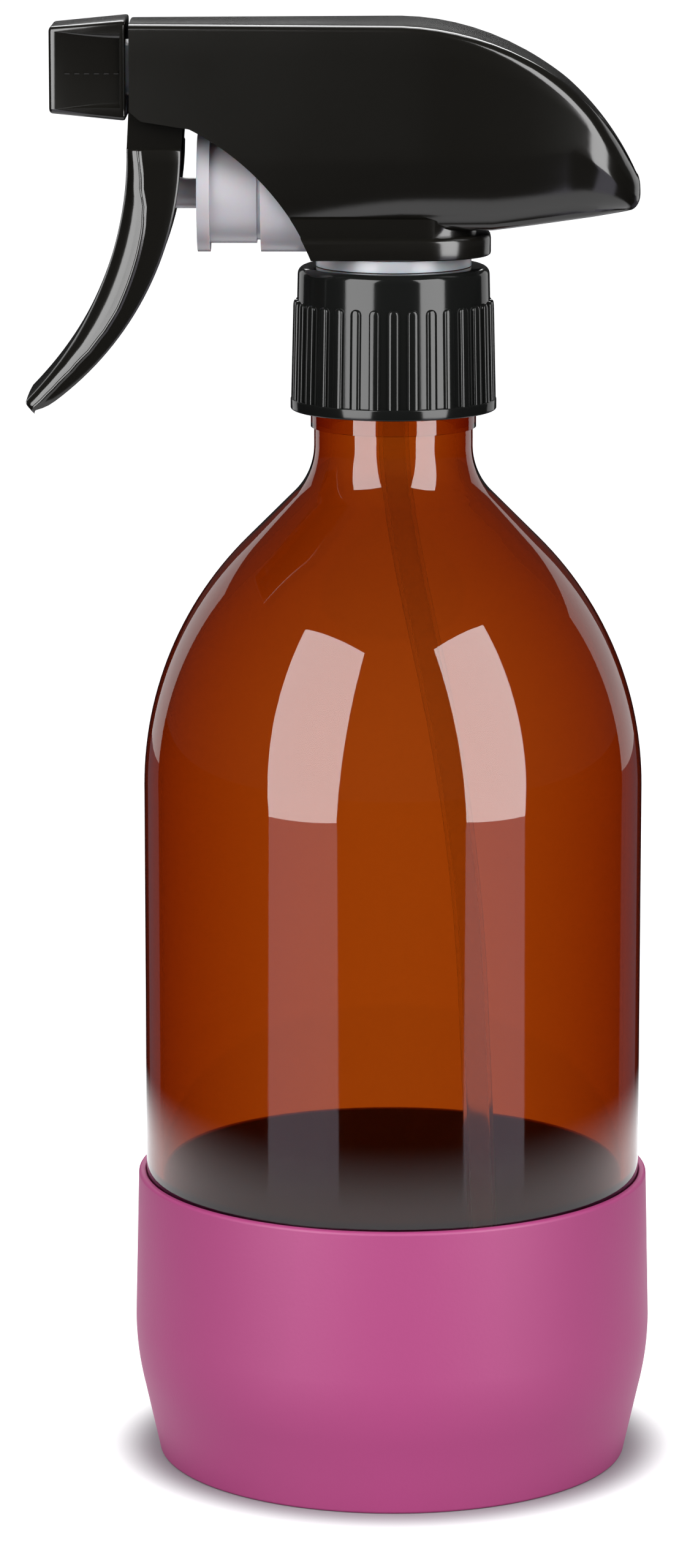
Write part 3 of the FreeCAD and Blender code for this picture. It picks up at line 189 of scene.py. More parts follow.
# %% [markdown]
# ## Shared surface effects
# Moulded plastic, silicone and glass are never perfectly even. One node group gives a fine
# grain: it puts out a roughness that wanders a little and a normal that ripples. Each finish
# places the group with its own scale and strength.

# %% The grain group
def socket(tree, name, kind, way, value=None):
    """Adds a named input or output to a node group."""
    made = tree.interface.new_socket(name=name, in_out=way, socket_type=kind)
    if value is not None:
        made.default_value = value
    return made


grain = bpy.data.node_groups.new("moulded_grain", "ShaderNodeTree")
socket(grain, "Scale", "NodeSocketFloat", "INPUT", 900.0)
socket(grain, "Ripple", "NodeSocketFloat", "INPUT", 0.1)
socket(grain, "Roughness", "NodeSocketFloat", "INPUT", 0.3)
socket(grain, "Wander", "NodeSocketFloat", "INPUT", 0.1)
socket(grain, "Roughness", "NodeSocketFloat", "OUTPUT")
socket(grain, "Normal", "NodeSocketVector", "OUTPUT")
n_in = grain.nodes.new("NodeGroupInput")
n_out = grain.nodes.new("NodeGroupOutput")
place = grain.nodes.new("ShaderNodeTexCoord")
fine = grain.nodes.new("ShaderNodeTexNoise")
fine.inputs["Detail"].default_value = 4.0
broad = grain.nodes.new("ShaderNodeTexNoise")
broad.inputs["Scale"].default_value = 45.0
broad.inputs["Detail"].default_value = 3.0
centred = grain.nodes.new("ShaderNodeMath")
centred.operation = "SUBTRACT"
centred.inputs[1].default_value = 0.5
spread = grain.nodes.new("ShaderNodeMath")
spread.operation = "MULTIPLY_ADD"
ripple = grain.nodes.new("ShaderNodeBump")
ripple.inputs["Distance"].default_value = 0.00005
for left, right in (
    (place.outputs["Object"], fine.inputs["Vector"]),
    (place.outputs["Object"], broad.inputs["Vector"]),
    (n_in.outputs["Scale"], fine.inputs["Scale"]),
    (broad.outputs["Fac"], centred.inputs[0]),
    (centred.outputs[0], spread.inputs[0]),
    (n_in.outputs["Wander"], spread.inputs[1]),
    (n_in.outputs["Roughness"], spread.inputs[2]),
    (fine.outputs["Fac"], ripple.inputs["Height"]),
    (n_in.outputs["Ripple"], ripple.inputs["Strength"]),
    (spread.outputs[0], n_out.inputs["Roughness"]),
    (ripple.outputs["Normal"], n_out.inputs["Normal"]),
):
    grain.links.new(left, right)
print("grain group has", len(grain.nodes), "nodes")


# %% A finish from its values
def finish_of(name, colour, roughness, scale=900.0, ripple_by=0.1, wander=0.08, **shader):
    """A material: a Principled BSDF with plain values, and the grain on its surface."""
    made = bpy.data.materials.new(name)
    made.use_nodes = True
    nodes, links = made.node_tree.nodes, made.node_tree.links
    skin = nodes["Principled BSDF"]
    skin.inputs["Base Color"].default_value = (*colour, 1.0)
    for label, value in shader.items():
        skin.inputs[label.replace("_", " ")].default_value = value
    group = nodes.new("ShaderNodeGroup")
    group.node_tree = grain
    group.inputs["Scale"].default_value = scale
    group.inputs["Ripple"].default_value = ripple_by
    group.inputs["Roughness"].default_value = roughness
    group.inputs["Wander"].default_value = wander
    links.new(group.outputs["Roughness"], skin.inputs["Roughness"])
    links.new(group.outputs["Normal"], skin.inputs["Normal"])
    made.diffuse_color = (*colour, 1.0)
    print("finish", name)
    return made


# %% The finishes
black_plastic = finish_of("gloss_black_plastic", (0.0082, 0.0076, 0.0062), 0.16,
                          scale=1400.0, ripple_by=0.05, wander=0.06)
satin_black = finish_of("satin_black_plastic", (0.0085, 0.009, 0.0085), 0.11,
                        scale=2200.0, ripple_by=0.03, wander=0.05, Specular_IOR_Level=0.3)
silicone = finish_of("magenta_silicone", (0.44, 0.054, 0.212), 0.52, scale=1600.0,
                     ripple_by=0.3, wander=0.12, Specular_IOR_Level=0.35)
natural_plastic = finish_of("natural_plastic", (0.58, 0.56, 0.6), 0.3, scale=1100.0,
                            ripple_by=0.15, Subsurface_Weight=0.5, Subsurface_Scale=0.003)
clear_tube = finish_of("clear_tube", (0.95, 0.95, 0.93), 0.25, scale=1100.0, ripple_by=0.1,
                       Transmission_Weight=0.94, IOR=1.08)
seal_foam = finish_of("seal_foam", (0.85, 0.85, 0.82), 0.7, scale=2600.0, ripple_by=0.5)
soft_seal = finish_of("soft_seal", (0.62, 0.62, 0.6), 0.45, scale=1500.0, ripple_by=0.2)
spring_steel = finish_of("spring_steel", (0.55, 0.55, 0.56), 0.28, scale=3000.0,
                         ripple_by=0.1, Metallic=1.0)
ball_steel = finish_of("ball_steel", (0.7, 0.7, 0.71), 0.12, scale=3000.0, ripple_by=0.03,
                       Metallic=1.0)
amber_glass = finish_of("amber_glass", (0.99, 0.97, 0.94), 0.01, scale=60.0, ripple_by=0.03,
                        wander=0.01, Transmission_Weight=1.0, IOR=1.5)
soak = amber_glass.node_tree.nodes.new("ShaderNodeVolumeAbsorption")
soak.inputs["Color"].default_value = (0.795, 0.52, 0.05, 1.0)
soak.inputs["Density"].default_value = 1350.0
amber_out = amber_glass.node_tree.nodes["Material Output"]
amber_glass.node_tree.links.new(soak.outputs["Volume"], amber_out.inputs["Volume"])

# %% [markdown]
# ## The glass bottle
# The bottle is blown glass: a round body, a full shoulder, a straight flank and a short neck.
# It has a real wall, because amber glass is darker where the eye looks along the wall. The
# outline is therefore closed: outside up to the mouth, inside back down to the floor.

# %% Bottle
glass_outline = outline(
    (0, 4.5), (28.59, 2.0), (32.09, 2.0, 22.0, "left"), (38.0, 17.0),
    (38.0, 105.0, 53.4, "left"), (22.36, 142.76), (14.99, 150.13, 10.2, "right"),
    (12.0, 157.34), (12.0, 160.2), (12.5, 160.2), (12.5, 180.5, 0.8, "left"), (11.7, 181.3),
    (9.5, 181.3), (9.5, 157.34, 12.7, "left"), (13.22, 148.37), (20.59, 140.99, 50.9, "right"),
    (35.5, 105.0), (35.5, 17.0, 19.5, "right"), (31.75, 5.5), (0, 8.0), steps=28)


def wound(name, section, radius, foot, pitch, turns, steps=140):
    """A thread: an outline swept along a helix, thinned to nothing at both ends."""
    rings = []
    for step in range(steps + 1):
        share = step / steps
        angle = 2 * math.pi * turns * share
        full = min(1.0, share * 12 + 0.02, (1 - share) * 12 + 0.02)
        ring = []
        for out, up in section:
            reach = radius + out * full
            height = foot + pitch * turns * share + up
            ring.append((reach * math.cos(angle), reach * math.sin(angle), height))
        rings.append(ring)
    return lofted(name, rings, 50)


bottle = new_piece("glass_bottle", turned("glass_bottle", glass_outline, 192), "container",
                   amber_glass, "bottle")
thread_section = [(-0.4, 0.05), (0.0, 0.0), (1.15, 0.75), (1.15, 1.65), (0.0, 2.4), (-0.4, 2.35)]
thread = new_piece("glass_thread", wound("glass_thread", thread_section, 12.5, 168.0, 4.233, 1.5),
                   "container", amber_glass)

# %% [markdown]
# ## The silicone sleeve
# The sleeve is a soft cup that the bottle stands in. Its foot is a short cone, its side
# is nearly upright and leans in towards a rounded rim.

# %% Sleeve
sleeve_outline = outline(
    (0, 0), (35.65, 0, 0.5, "left"), (36.15, 0.5), (38.45, 10.8, 45.0, "left"), (39.75, 21.5),
    (39.2, 44.1, 0.5, "left"), (38.7, 44.6), (38.35, 44.6, 0.3, "left"), (38.05, 44.3),
    (38.05, 17.0, 22.05, "right"), (32.14, 2.0), (0, 2.0))
sleeve = new_piece("sleeve_cup", turned("sleeve_cup", sleeve_outline, 160), "container",
                   silicone, "silicone_sleeve")

# %% [markdown]
# ## The screw closure
# The closure is a skirt with a plain foot flange and narrow grip ribs. The skirt is turned.
# The ribs repeat, so Geometry Nodes place one rib mesh on the points of a circle.

# %% Closure skirt
closure_outline = outline(
    (13.85, 162.9), (15.3, 162.9, 0.25, "left"), (15.55, 163.15), (15.55, 164.35, 0.25, "left"),
    (15.3, 164.6), (14.9, 164.6), (14.45, 183.3, 1.2, "left"), (13.25, 184.5), (9.1, 184.5),
    (9.1, 183.3), (12.75, 183.3), (12.75, 178.3), (13.85, 177.2), steps=6)
closure = new_piece("closure_skirt", turned("closure_skirt", closure_outline, 160), "closure",
                    satin_black, "closure_cap")


# %% One grip rib
RIB_FOOT, RIB_SHOULDER, RIB_HALF = 164.3, 178.6, 0.8


def skirt_radius(height):
    """Outer radius of the tapered skirt, from its flange at 164.6 to its edge at 183.3."""
    return 14.9 - (height - 164.6) * 0.45 / 18.7


def rib_mesh():
    """A bar with soft corners and a round upper end, standing on the skirt at the -Y side."""
    rings = []
    heights = [RIB_FOOT, 170.0, RIB_SHOULDER]
    heights += [RIB_SHOULDER + RIB_HALF * math.sin(math.radians(a))
                for a in (25, 45, 60, 72, 82, 90)]
    for height in heights:
        share = max(height - RIB_SHOULDER, 0.0) / RIB_HALF
        wide = RIB_HALF * math.sqrt(max(1.0 - share * share, 0.0)) + 0.01
        ring = []
        for side, out in ((-1.0, -0.3), (-1.0, 0.1), (-0.93, 0.4), (-0.72, 0.52), (-0.3, 0.56),
                          (0.3, 0.56), (0.72, 0.52), (0.93, 0.4), (1.0, 0.1), (1.0, -0.3)):
            full = out if out < 0 else out * (0.35 + 0.65 * wide / 0.81)
            ring.append((side * wide, -(skirt_radius(height) + full), height))
        rings.append(ring)
    return lofted("grip_rib", rings, 50)


# %% Ribs round the closure
def copies_of(name, one, count, material, move=(0, 0, 0), turn=0.0):
    """Geometry Nodes that repeat a mesh: each copy is moved and turned one step further."""
    tree = bpy.data.node_groups.new(name + "_nodes", "GeometryNodeTree")
    socket(tree, "Geometry", "NodeSocketGeometry", "INPUT")
    socket(tree, "Count", "NodeSocketInt", "INPUT", count)
    socket(tree, "Geometry", "NodeSocketGeometry", "OUTPUT")
    given = tree.nodes.new("NodeGroupInput")
    result = tree.nodes.new("NodeGroupOutput")
    points = tree.nodes.new("GeometryNodePoints")
    index = tree.nodes.new("GeometryNodeInputIndex")
    steps = []
    for step in (move, (0, 0, turn)):
        scaled = tree.nodes.new("ShaderNodeVectorMath")
        scaled.operation = "SCALE"
        scaled.inputs[0].default_value = step
        tree.links.new(index.outputs["Index"], scaled.inputs["Scale"])
        steps.append(scaled)
    copies = tree.nodes.new("GeometryNodeInstanceOnPoints")
    real = tree.nodes.new("GeometryNodeRealizeInstances")
    paint = tree.nodes.new("GeometryNodeSetMaterial")
    paint.inputs["Material"].default_value = material
    for left, right in (
        (given.outputs["Count"], points.inputs["Count"]),
        (steps[0].outputs["Vector"], points.inputs["Position"]),
        (points.outputs[0], copies.inputs["Points"]),
        (given.outputs["Geometry"], copies.inputs["Instance"]),
        (steps[1].outputs["Vector"], copies.inputs["Rotation"]),
        (copies.outputs["Instances"], real.inputs["Geometry"]),
        (real.outputs["Geometry"], paint.inputs["Geometry"]),
        (paint.outputs["Geometry"], result.inputs["Geometry"]),
    ):
        tree.links.new(left, right)
    seed = bpy.data.objects.new(name + "_seed", one)
    bpy.context.scene.collection.objects.link(seed)
    modifier = seed.modifiers.new("repeat", "NODES")
    modifier.node_group = tree
    wanted = next(i for i in tree.interface.items_tree if i.name == "Count")
    modifier[wanted.identifier] = count
    graph = bpy.context.evaluated_depsgraph_get()
    made = bpy.data.meshes.new_from_object(seed.evaluated_get(graph), depsgraph=graph)
    seed.modifiers.clear()
    bpy.data.objects.remove(seed)
    made.name = name
    print(name, "copies:", count, "faces:", len(made.polygons))
    return made


RIBS = 32
rib_ring = copies_of("closure_ribs", rib_mesh(), RIBS, satin_black, turn=2 * math.pi / RIBS)
ribs = new_piece("closure_ribs", rib_ring, "closure", satin_black)

# %% [markdown]
# ## The shroud
# The shroud is the long hood of the trigger head. Seen from above it widens towards the back
# and ends in a round tail, and seen from the side its back falls in one long curve. It is
# lofted from upright cross-sections, outside and inside. A stepped collar is joined on below,
# and the front is cut away so that the trigger can swing.


# %% Outlines of the shroud, from above and from the side
def over_arc(x, start, finish, radius):
    """Height at x on an arc between two points that turns right, as a hilltop does."""
    centre = arc_middle(start, finish, radius, -1)
    return centre.y + math.sqrt(max(radius ** 2 - (x - centre.x) ** 2, 0.0))


def shroud_half(x):
    if x <= 6.0:
        return 8.6 + (x + 39.3) * 4.0 / 45.3
    if x <= 28.7:
        return over_arc(x, (6.0, 12.6), (28.7, 10.22), 109.0)
    return math.sqrt(max(10.45 ** 2 - (x - 26.55) ** 2, 0.0))


def shroud_top(x):
    if x <= 0.0:
        return 221.4
    if x <= 26.0:
        return over_arc(x, (0.0, 221.4), (26.0, 212.4), 42.0)
    if x <= 36.4:
        return over_arc(x, (26.0, 212.4), (36.6, 198.0), 40.0)
    share = (x - 36.4) / 0.6
    return 198.4 - 3.0 * (1 - math.sqrt(max(1 - share ** 2, 0.0)))


def shroud_foot(x):
    if x <= 14.8:
        return 190.6
    if x <= 35.3:
        return 190.6 + (x - 14.8) * 2.5 / 20.5
    share = (x - 35.3) / 1.7
    return 193.1 + 2.3 * (1 - math.sqrt(max(1 - share ** 2, 0.0)))


# %% Cross-sections of the shroud
# How far the side has drawn in, at heights above the shroud's foot
BELLY = ((11.2, 0.0), (10.6, 0.04), (10.0, 0.14), (8.4, 0.47), (6.4, 0.9), (5.4, 1.13),
         (4.4, 1.45), (3.4, 1.87), (2.4, 2.4), (1.6, 2.95))


def shroud_section(x, inset):
    """Points (y, z) of half a section, from the top's middle to the foot's middle."""
    half = max(shroud_half(x) - inset, 0.02)
    top, foot = shroud_top(x) - inset, shroud_foot(x) + inset
    tall = max(top - foot, 0.04)
    tail = min(max((x - 2.0) / 30.0, 0.0), 1.0)
    edge = min(max(1.3 + 2.2 * tail * tail - inset, 0.5), half * 0.8, tall * 0.4)
    crown = min(0.3, half * 0.05)
    points = [(half * s * 0.85, top - crown * s * s) for s in (0, 0.25, 0.5, 0.75)]
    for step in range(9):
        angle = math.pi / 2 * (1 - step / 8)
        fall = crown * (1 - step / 8)
        points.append((half - edge + edge * math.cos(angle),
                       top - edge + edge * math.sin(angle) - fall))
    grow = min(1.0, (tall - edge) / 17.0)
    draw_in = min(1.0, half / 9.0) if x > 6.0 else min(max((half - 9.3) / 2.95, 0.1), 1.0)
    belly_top = foot + 11.2 * grow
    for share in (0.2, 0.4, 0.6, 0.8):
        points.append((half, (top - edge) * (1 - share) + belly_top * share))
    for up, pull in BELLY:
        points.append((half - pull * draw_in, foot + up * grow))
    y_low, low = points[-1][0], 1.6 * grow
    small = min(1.3, y_low * 0.4)
    for step in range(1, 6):
        turn = math.pi / 2 * step / 5
        points.append((y_low - small * (1 - math.cos(turn)), foot + low * (1 - math.sin(turn))))
    y_end = points[-1][0]
    return points[:-1] + [(y_end * s, foot) for s in (1.0, 0.75, 0.5, 0.25, 0)]


def hood(name, inset, front, tail):
    """A closed loft through the sections from front to tail."""
    stations = [front + (20.0 - front) * i / 22 for i in range(22)]
    stations += [20.0 + (tail - 20.0) * (1 - (1 - i / 34) ** 2) for i in range(35)]
    rings = []
    for x in stations:
        half = shroud_section(min(x, tail - 0.004), inset)
        full = half + [(-y, z) for y, z in half[-2:0:-1]]
        rings.append([(x, y, z) for y, z in full])
    return lofted(name, rings)


def prism(name, points, low, high, plane="XY"):
    """A closed block from an outline, between two heights or two Y places."""
    if plane == "XY":
        return lofted(name, [[(a, b, depth) for a, b in points] for depth in (low, high)])
    return lofted(name, [[(a, depth, b) for a, b in points] for depth in (low, high)])


# %% Joining and cutting
def carved(name, start, *steps, sharp=32):
    """A mesh after boolean steps, each one an operation and another mesh."""
    piece = bpy.data.objects.new(name, start)
    bpy.context.scene.collection.objects.link(piece)
    others = []
    for operation, mesh in steps:
        other = bpy.data.objects.new(name + "_tool", mesh)
        bpy.context.scene.collection.objects.link(other)
        others.append(other)
        modifier = piece.modifiers.new("step", "BOOLEAN")
        modifier.operation = operation
        modifier.solver = "EXACT"
        modifier.object = other
    graph = bpy.context.evaluated_depsgraph_get()
    made = bpy.data.meshes.new_from_object(piece.evaluated_get(graph), depsgraph=graph)
    for used in [piece] + others:
        bpy.data.objects.remove(used)
    made.name = name
    made.shade_smooth()
    made.set_sharp_from_angle(angle=math.radians(sharp))
    return made


def collar_outline(inset, front):
    half, back, bend_by = 12.0 - inset, 14.6 - inset, 10.4 - inset
    return outline((front, -half), (4.2, -half, bend_by, "left"), (back, -1.6),
                   (back, 1.6, bend_by, "left"), (4.2, half), (front, half), steps=14)


def stepped(name, layers):
    """A closed block from outlines at rising heights."""
    return lofted(name, [[(x, y, z) for x, y in points] for z, points in layers])


front_cut = outline((-60, 180), (-12.3, 180), (-12.3, 186.4, 37.0, "left"), (-30.4, 205.7),
                    (-37.6, 206.8), (-39.3, 208.2), (-60, 208.2), steps=30)
collar_layers = [(z, collar_outline(inset, -39.3)) for z, inset in (
    (186.4, 0.25), (186.55, 0.06), (186.8, 0.0), (188.9, 0.0), (189.3, 0.1), (189.6, 0.38),
    (189.72, 0.8), (189.75, 2.1), (192.4, 2.1))]
shell = carved(
    "shroud_shell", hood("hood", 0.0, -39.3, 37.0),
    ("UNION", stepped("foot", collar_layers)),
    ("DIFFERENCE", hood("hood_inside", 1.3, -41.0, 35.7)),
    ("DIFFERENCE", prism("foot_inside", collar_outline(1.3, -41.0), 184.0, 188.4)),
    ("DIFFERENCE", prism("crease_inside", collar_outline(3.4, -41.0), 184.0, 193.6)),
    ("DIFFERENCE", prism("front_cut", front_cut, -20.0, 20.0, "XZ")))
shroud = new_piece("shroud_hood", shell, "head", black_plastic, "shroud")

# %% [markdown]
# ## The trigger
# The trigger is a curved blade. Its front is rounded for two fingers, its sides are thin walls,
# and its back is open, so that it can close round the pump's cylinder. A fine bead marks the
# line where the round front meets the flat side. The blade is lofted: one closed section is
# repeated along the arc of the finger side, and its depth follows the arc of the back edge.

# %% Measures of the trigger's blade
FRONT_MIDDLE, FRONT_RADIUS = Vector((-92.6, 202.37)), 52.8
BACK_MIDDLE, BACK_RADIUS = Vector((-78.6, 202.95)), 47.0
BEAD = ((-1, 1.5), (4.7, 2.06), (9, 3.0), (12, 3.3), (16, 3.4), (20, 3.4), (24, 3.36), (27, 3.1),
        (31, 2.6), (35, 1.95), (39, 1.5), (42, 1.3), (47, 1.0))
BLADE_HALF = 11.0


def blade_depth(angle):
    """Distance from the finger side to the back edge along the ray at an angle below level."""
    ray = Vector((math.cos(angle), -math.sin(angle)))
    gap = FRONT_MIDDLE - BACK_MIDDLE
    along = gap.dot(ray)
    return -along + math.sqrt(along ** 2 - gap.length_squared + BACK_RADIUS ** 2) - FRONT_RADIUS


def bead_depth(angle):
    turn = math.degrees(angle)
    for (low, a), (high, b) in zip(BEAD, BEAD[1:]):
        if turn <= high:
            share = min(max((turn - low) / (high - low), 0.0), 1.0)
            share = share * share * (3 - 2 * share)
            return a + (b - a) * share
    return BEAD[-1][1]


print("blade depth at the ledge, middle and tip:",
      [round(blade_depth(math.radians(t)), 2) for t in (0, 22, 44)])


# %% The blade's loft
def blade_ring(angle, closed, end):
    """One closed section: (depth, side) points round the wall of the blade."""
    deep, bead = blade_depth(angle) - end * 0.5, bead_depth(angle)
    half = BLADE_HALF - 0.35 * end
    soft = min(3.6, bead * 1.3 + 0.6)
    outer = [(0.0, 0.0), (0.03, (half - soft) * 0.5), (0.08, half - soft)]
    for step in range(1, 9):
        turn = math.pi / 2 * step / 8
        outer.append((0.08 + (bead - 0.08) * (1 - math.cos(turn)),
                      half - soft + (soft - 0.3) * math.sin(turn)))
    outer += [(bead + 0.12, half - 0.26), (bead + 0.22, half - 0.02), (bead + 0.38, half + 0.06),
              (bead + 0.58, half + 0.02), (bead + 0.74, half - 0.12), (bead + 0.95, half - 0.16)]
    outer += [(deep * 0.6 + bead * 0.4, half - 0.2), (deep - 0.35, half - 0.3),
              (deep - 0.08, half - 0.45), (deep, half - 0.75)]
    wall = 1.8
    floor = deep - 0.05 if closed else min(wall + (deep - wall) * end, deep - 0.05)
    inner = [(deep, half - wall + 0.2), (deep - 0.15 * (deep - floor), half - wall),
             (floor + 0.25 * (deep - floor), half - wall), (floor, half - wall - 0.6)]
    half_ring = outer + inner
    return ([(d, -w) for d, w in half_ring[:0:-1]] + half_ring + [(floor, 0.0)])


def blade():
    """The whole blade, from just above the ledge to the tip, one section after another."""
    turns = [(-0.45, 1, 0.6), (-0.35, 1, 0.2), (-0.15, 1, 0.0), (1.45, 1, 0.0), (1.5, 0, 0.0)]
    turns += [(1.5 + 39.9 * i / 30, 0, 0.0) for i in range(1, 31)]
    turns += [(42.6, 0, 0.1), (43.6, 0, 0.45), (44.2, 0, 0.8), (44.6, 1, 1.0), (44.9, 1, 1.6),
              (45.1, 1, 2.4)]
    rings = []
    for turn, closed, end in turns:
        angle = math.radians(turn)
        ray = Vector((math.cos(angle), -math.sin(angle)))
        ring = []
        for depth, side in blade_ring(angle, closed, end):
            spot = FRONT_MIDDLE + ray * (FRONT_RADIUS + depth + max(end - 1.0, 0) * 0.25)
            ring.append((spot.x, side, spot.y))
        rings.append(ring)
    return lofted("blade", rings)


# %% The trigger's neck and arms
yoke = outline((-39.4, 209.5), (-39.8, 202.0), (-31.7, 202.0), (-31.4, 206.2),
               (-32.9, 209.5, 3.1, "left"), (-36.0, 212.6, 3.1, "left"), (-39.1, 209.5), steps=8)
throat = outline((-44, 206.0), (-27, 206.0), (-27, 216.0), (-44, 216.0))
slot_back = outline((-38.0, 199.2), (-27, 199.2), (-27, 206.2), (-38.0, 206.2))
trigger_mesh = carved(
    "trigger_form", blade(),
    ("UNION", prism("yoke", yoke, -6.9, 6.9, "XZ")),
    ("DIFFERENCE", prism("throat", throat, -5.25, 5.25, "XZ")),
    ("DIFFERENCE", prism("slot", slot_back, -5.25, 5.25, "XZ")),
    sharp=38)
trigger = new_piece("trigger_blade", trigger_mesh, "trigger", black_plastic, "trigger_lever")

# %% [markdown]
# ## The nozzle
# The nozzle is a square cap that is turned to open and shut the spray. It narrows towards the
# front. Its two side faces are a little hollow, which gives the fingers a hold, and each
# carries a row of tiny raised dashes. The block is lofted from rounded squares, the hollows
# are cut out, and Geometry Nodes repeat the dash.


# %% The nozzle's block
NOZZLE_AXIS = 214.2


def round_square(x, half, edge, steps=5):
    """Points of a square with round corners, in the plane at x."""
    points = []
    for a, b, first in ((1, 1, 0), (-1, 1, 90), (-1, -1, 180), (1, -1, 270)):
        for step in range(steps + 1):
            turn = math.radians(first + 90 * step / steps)
            points.append((x, a * (half - edge) + edge * math.cos(turn),
                           NOZZLE_AXIS + b * (half - edge) + edge * math.sin(turn)))
    return points


def nozzle_half(x):
    """Half the cap's width at x."""
    return 7.45 + (x + 39.9) * 1.05 / 11.4


def nozzle_block():
    """The square cap without its hollows, from the front face to the back edge."""
    stations = ((-51.3, 0.55, 0.3), (-51.24, 0.3, 0.5), (-51.08, 0.1, 0.65),
                (-50.8, 0.0, 0.75), (-46.0, 0.0, 0.75), (-40.4, 0.0, 0.75),
                (-40.1, 0.06, 0.7), (-39.95, 0.2, 0.6), (-39.9, 0.35, 0.5))
    return lofted("nozzle_block", [round_square(x, nozzle_half(x) - shrink, edge)
                                   for x, shrink, edge in stations])


# %% The finger hollow
def hollow(side):
    """A wedge that deepens towards the nozzle's back and widens on the way."""
    rings = []
    for share in [i / 12 for i in range(13)]:
        x = -50.3 + 9.6 * share
        tall = 5.75 - 0.7 * math.sin(math.pi / 2 * share)
        low = nozzle_half(x) - 0.02 - 0.85 * share ** 1.2
        high = nozzle_half(x) + 1.0
        soft = 0.5 * share + 0.02
        corners = ((high, -tall - 1.0), (low + soft, -tall - soft * 0.6),
                   (low + soft * 0.3, -tall), (low, -tall + soft), (low, tall - soft),
                   (low + soft * 0.3, tall), (low + soft, tall + soft * 0.6),
                   (high, tall + 1.0))
        rings.append([(x, side * y, NOZZLE_AXIS + z) for y, z in corners])
    return lofted("hollow", rings)


# %% Nozzle
hub = turned("nozzle_hub", [(4.27, -38.0), (4.27, -49.7), (0.4, -49.7), (0.4, -52.5),
                            (0.0, -52.5), (0.0, -38.0)], 64, "X", (0, 0, NOZZLE_AXIS))
nozzle_mesh = carved(
    "nozzle_form", nozzle_block(),
    ("DIFFERENCE", hollow(-1)), ("DIFFERENCE", hollow(1)), ("DIFFERENCE", hub), sharp=35)
nozzle = new_piece("nozzle_shell", nozzle_mesh, "nozzle", black_plastic, "nozzle_cap")


# %% Dashes on the nozzle's sides
DASHES, DASH_STEP = 6, 1.456
FIRST_DASH_X, DASH_LEVEL = -48.55, 213.9


def dash_pair():
    """One low stump with bevelled edges on each side face, at the front end of the row."""
    bm = bmesh.new()
    for side in (-1, 1):
        rings = []
        for y, shrink in ((6.35, 0.0), (6.6, 0.0), (6.68, 0.1)):
            wide, tall = 0.42 - shrink, 0.25 - shrink
            rings.append([(FIRST_DASH_X + a * wide, side * y, DASH_LEVEL + b * tall)
                          for a, b in ((1, 1), (-1, 1), (-1, -1), (1, -1))])
        skin_over(bm, rings)
    return finish_mesh(bm, "dash_pair", 30)


dash_rows = copies_of("nozzle_dashes", dash_pair(), DASHES, black_plastic,
                      move=(DASH_STEP * MM, 0, 0))
dashes = new_piece("nozzle_dashes", dash_rows, "nozzle", black_plastic)

# %% [markdown]
# ## Finishes of the solids that stay
# The pump's round base, the cylinder, the rod, the tube and the seals already have their real
# shapes in the CAD. They keep those, and only get a finish. The two springs get theirs here
# as well, and the next cell takes up their coils.

# %% Finishes for the other solids
FINISHES = {
    "neck_gasket": seal_foam, "tube_retainer": natural_plastic, "dip_tube": clear_tube,
    "intake_ball": ball_steel, "pump_body": natural_plastic, "pump_cylinder": natural_plastic,
    "piston_rod": natural_plastic, "piston_cup": soft_seal, "piston_spring": spring_steel,
    "outlet_valve": soft_seal, "outlet_spring": spring_steel, "spinner": natural_plastic,
    "nozzle_seal": soft_seal,
}
for label, material in FINISHES.items():
    solids[label].data.materials.clear()
    solids[label].data.materials.append(material)
print("finished solids:", len(FINISHES))

# %% [markdown]
# ## Springs
# Each spring stands between the head and a sliding part. Its coil is a copy of the solid's own
# mesh in its shape at rest, which takes the solid's place; the ends it sits between are worked
# out and printed.


# %% Springs
def spring_between(label, fixed_at_low_end):
    """The solid's own coil as a copy in the solid's place, with the ends it sits between worked
    out.
    """
    coil = bpy.data.objects.new(label + "_coil", solids[label].data.copy())
    bpy.context.scene.collection.objects.link(coil)
    low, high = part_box(label)
    level = (low[2] + high[2]) / 2
    ends = [(low[0], 0.0, level), (high[0], 0.0, level)]
    if not fixed_at_low_end:
        ends.reverse()
    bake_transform(coil)
    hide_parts(label)
    print(coil.name, "is held at", [round(v, 4) for v in ends[0]])


spring_between("piston_spring", False)
spring_between("outlet_spring", True)

# %% [markdown]
# ## Floor and lamps
# The photograph's background is pure white, with a thin dark shadow round the foot of the
# sleeve. The floor gives light of its own to the camera, so that it reads white. Close to the
# sleeve that light fades out by distance, which paints a shadow ring round the foot, on top of
# the lamps' real shadow there. The shiny surfaces mirror a bright table that ends about a
# quarter of a metre away, and a dark, slightly polished floor beyond it.
# The sky is white where it shows through the glass and dim where it is mirrored. Three lamps
# light the object. Five more only show in reflections: two tall ones left and right of the
# camera give the long highlights on the glass, one stands behind, and two draw the rims.


# %% Small node helpers
def maths(tree, operation, first, second, clamp=False):
    """A Math node of two sockets. It returns the output."""
    node = tree.nodes.new("ShaderNodeMath")
    node.operation = operation
    node.use_clamp = clamp
    tree.links.new(first, node.inputs[0])
    tree.links.new(second, node.inputs[1])
    return node.outputs[0]


def ranged(tree, value, given, wanted, smooth=False):
    """A Map Range node from the given span to the wanted one. It returns the output."""
    node = tree.nodes.new("ShaderNodeMapRange")
    if smooth:
        node.interpolation_type = "SMOOTHSTEP"
    node.inputs["From Min"].default_value, node.inputs["From Max"].default_value = given
    node.inputs["To Min"].default_value, node.inputs["To Max"].default_value = wanted
    tree.links.new(value, node.inputs["Value"])
    return node.outputs["Result"]


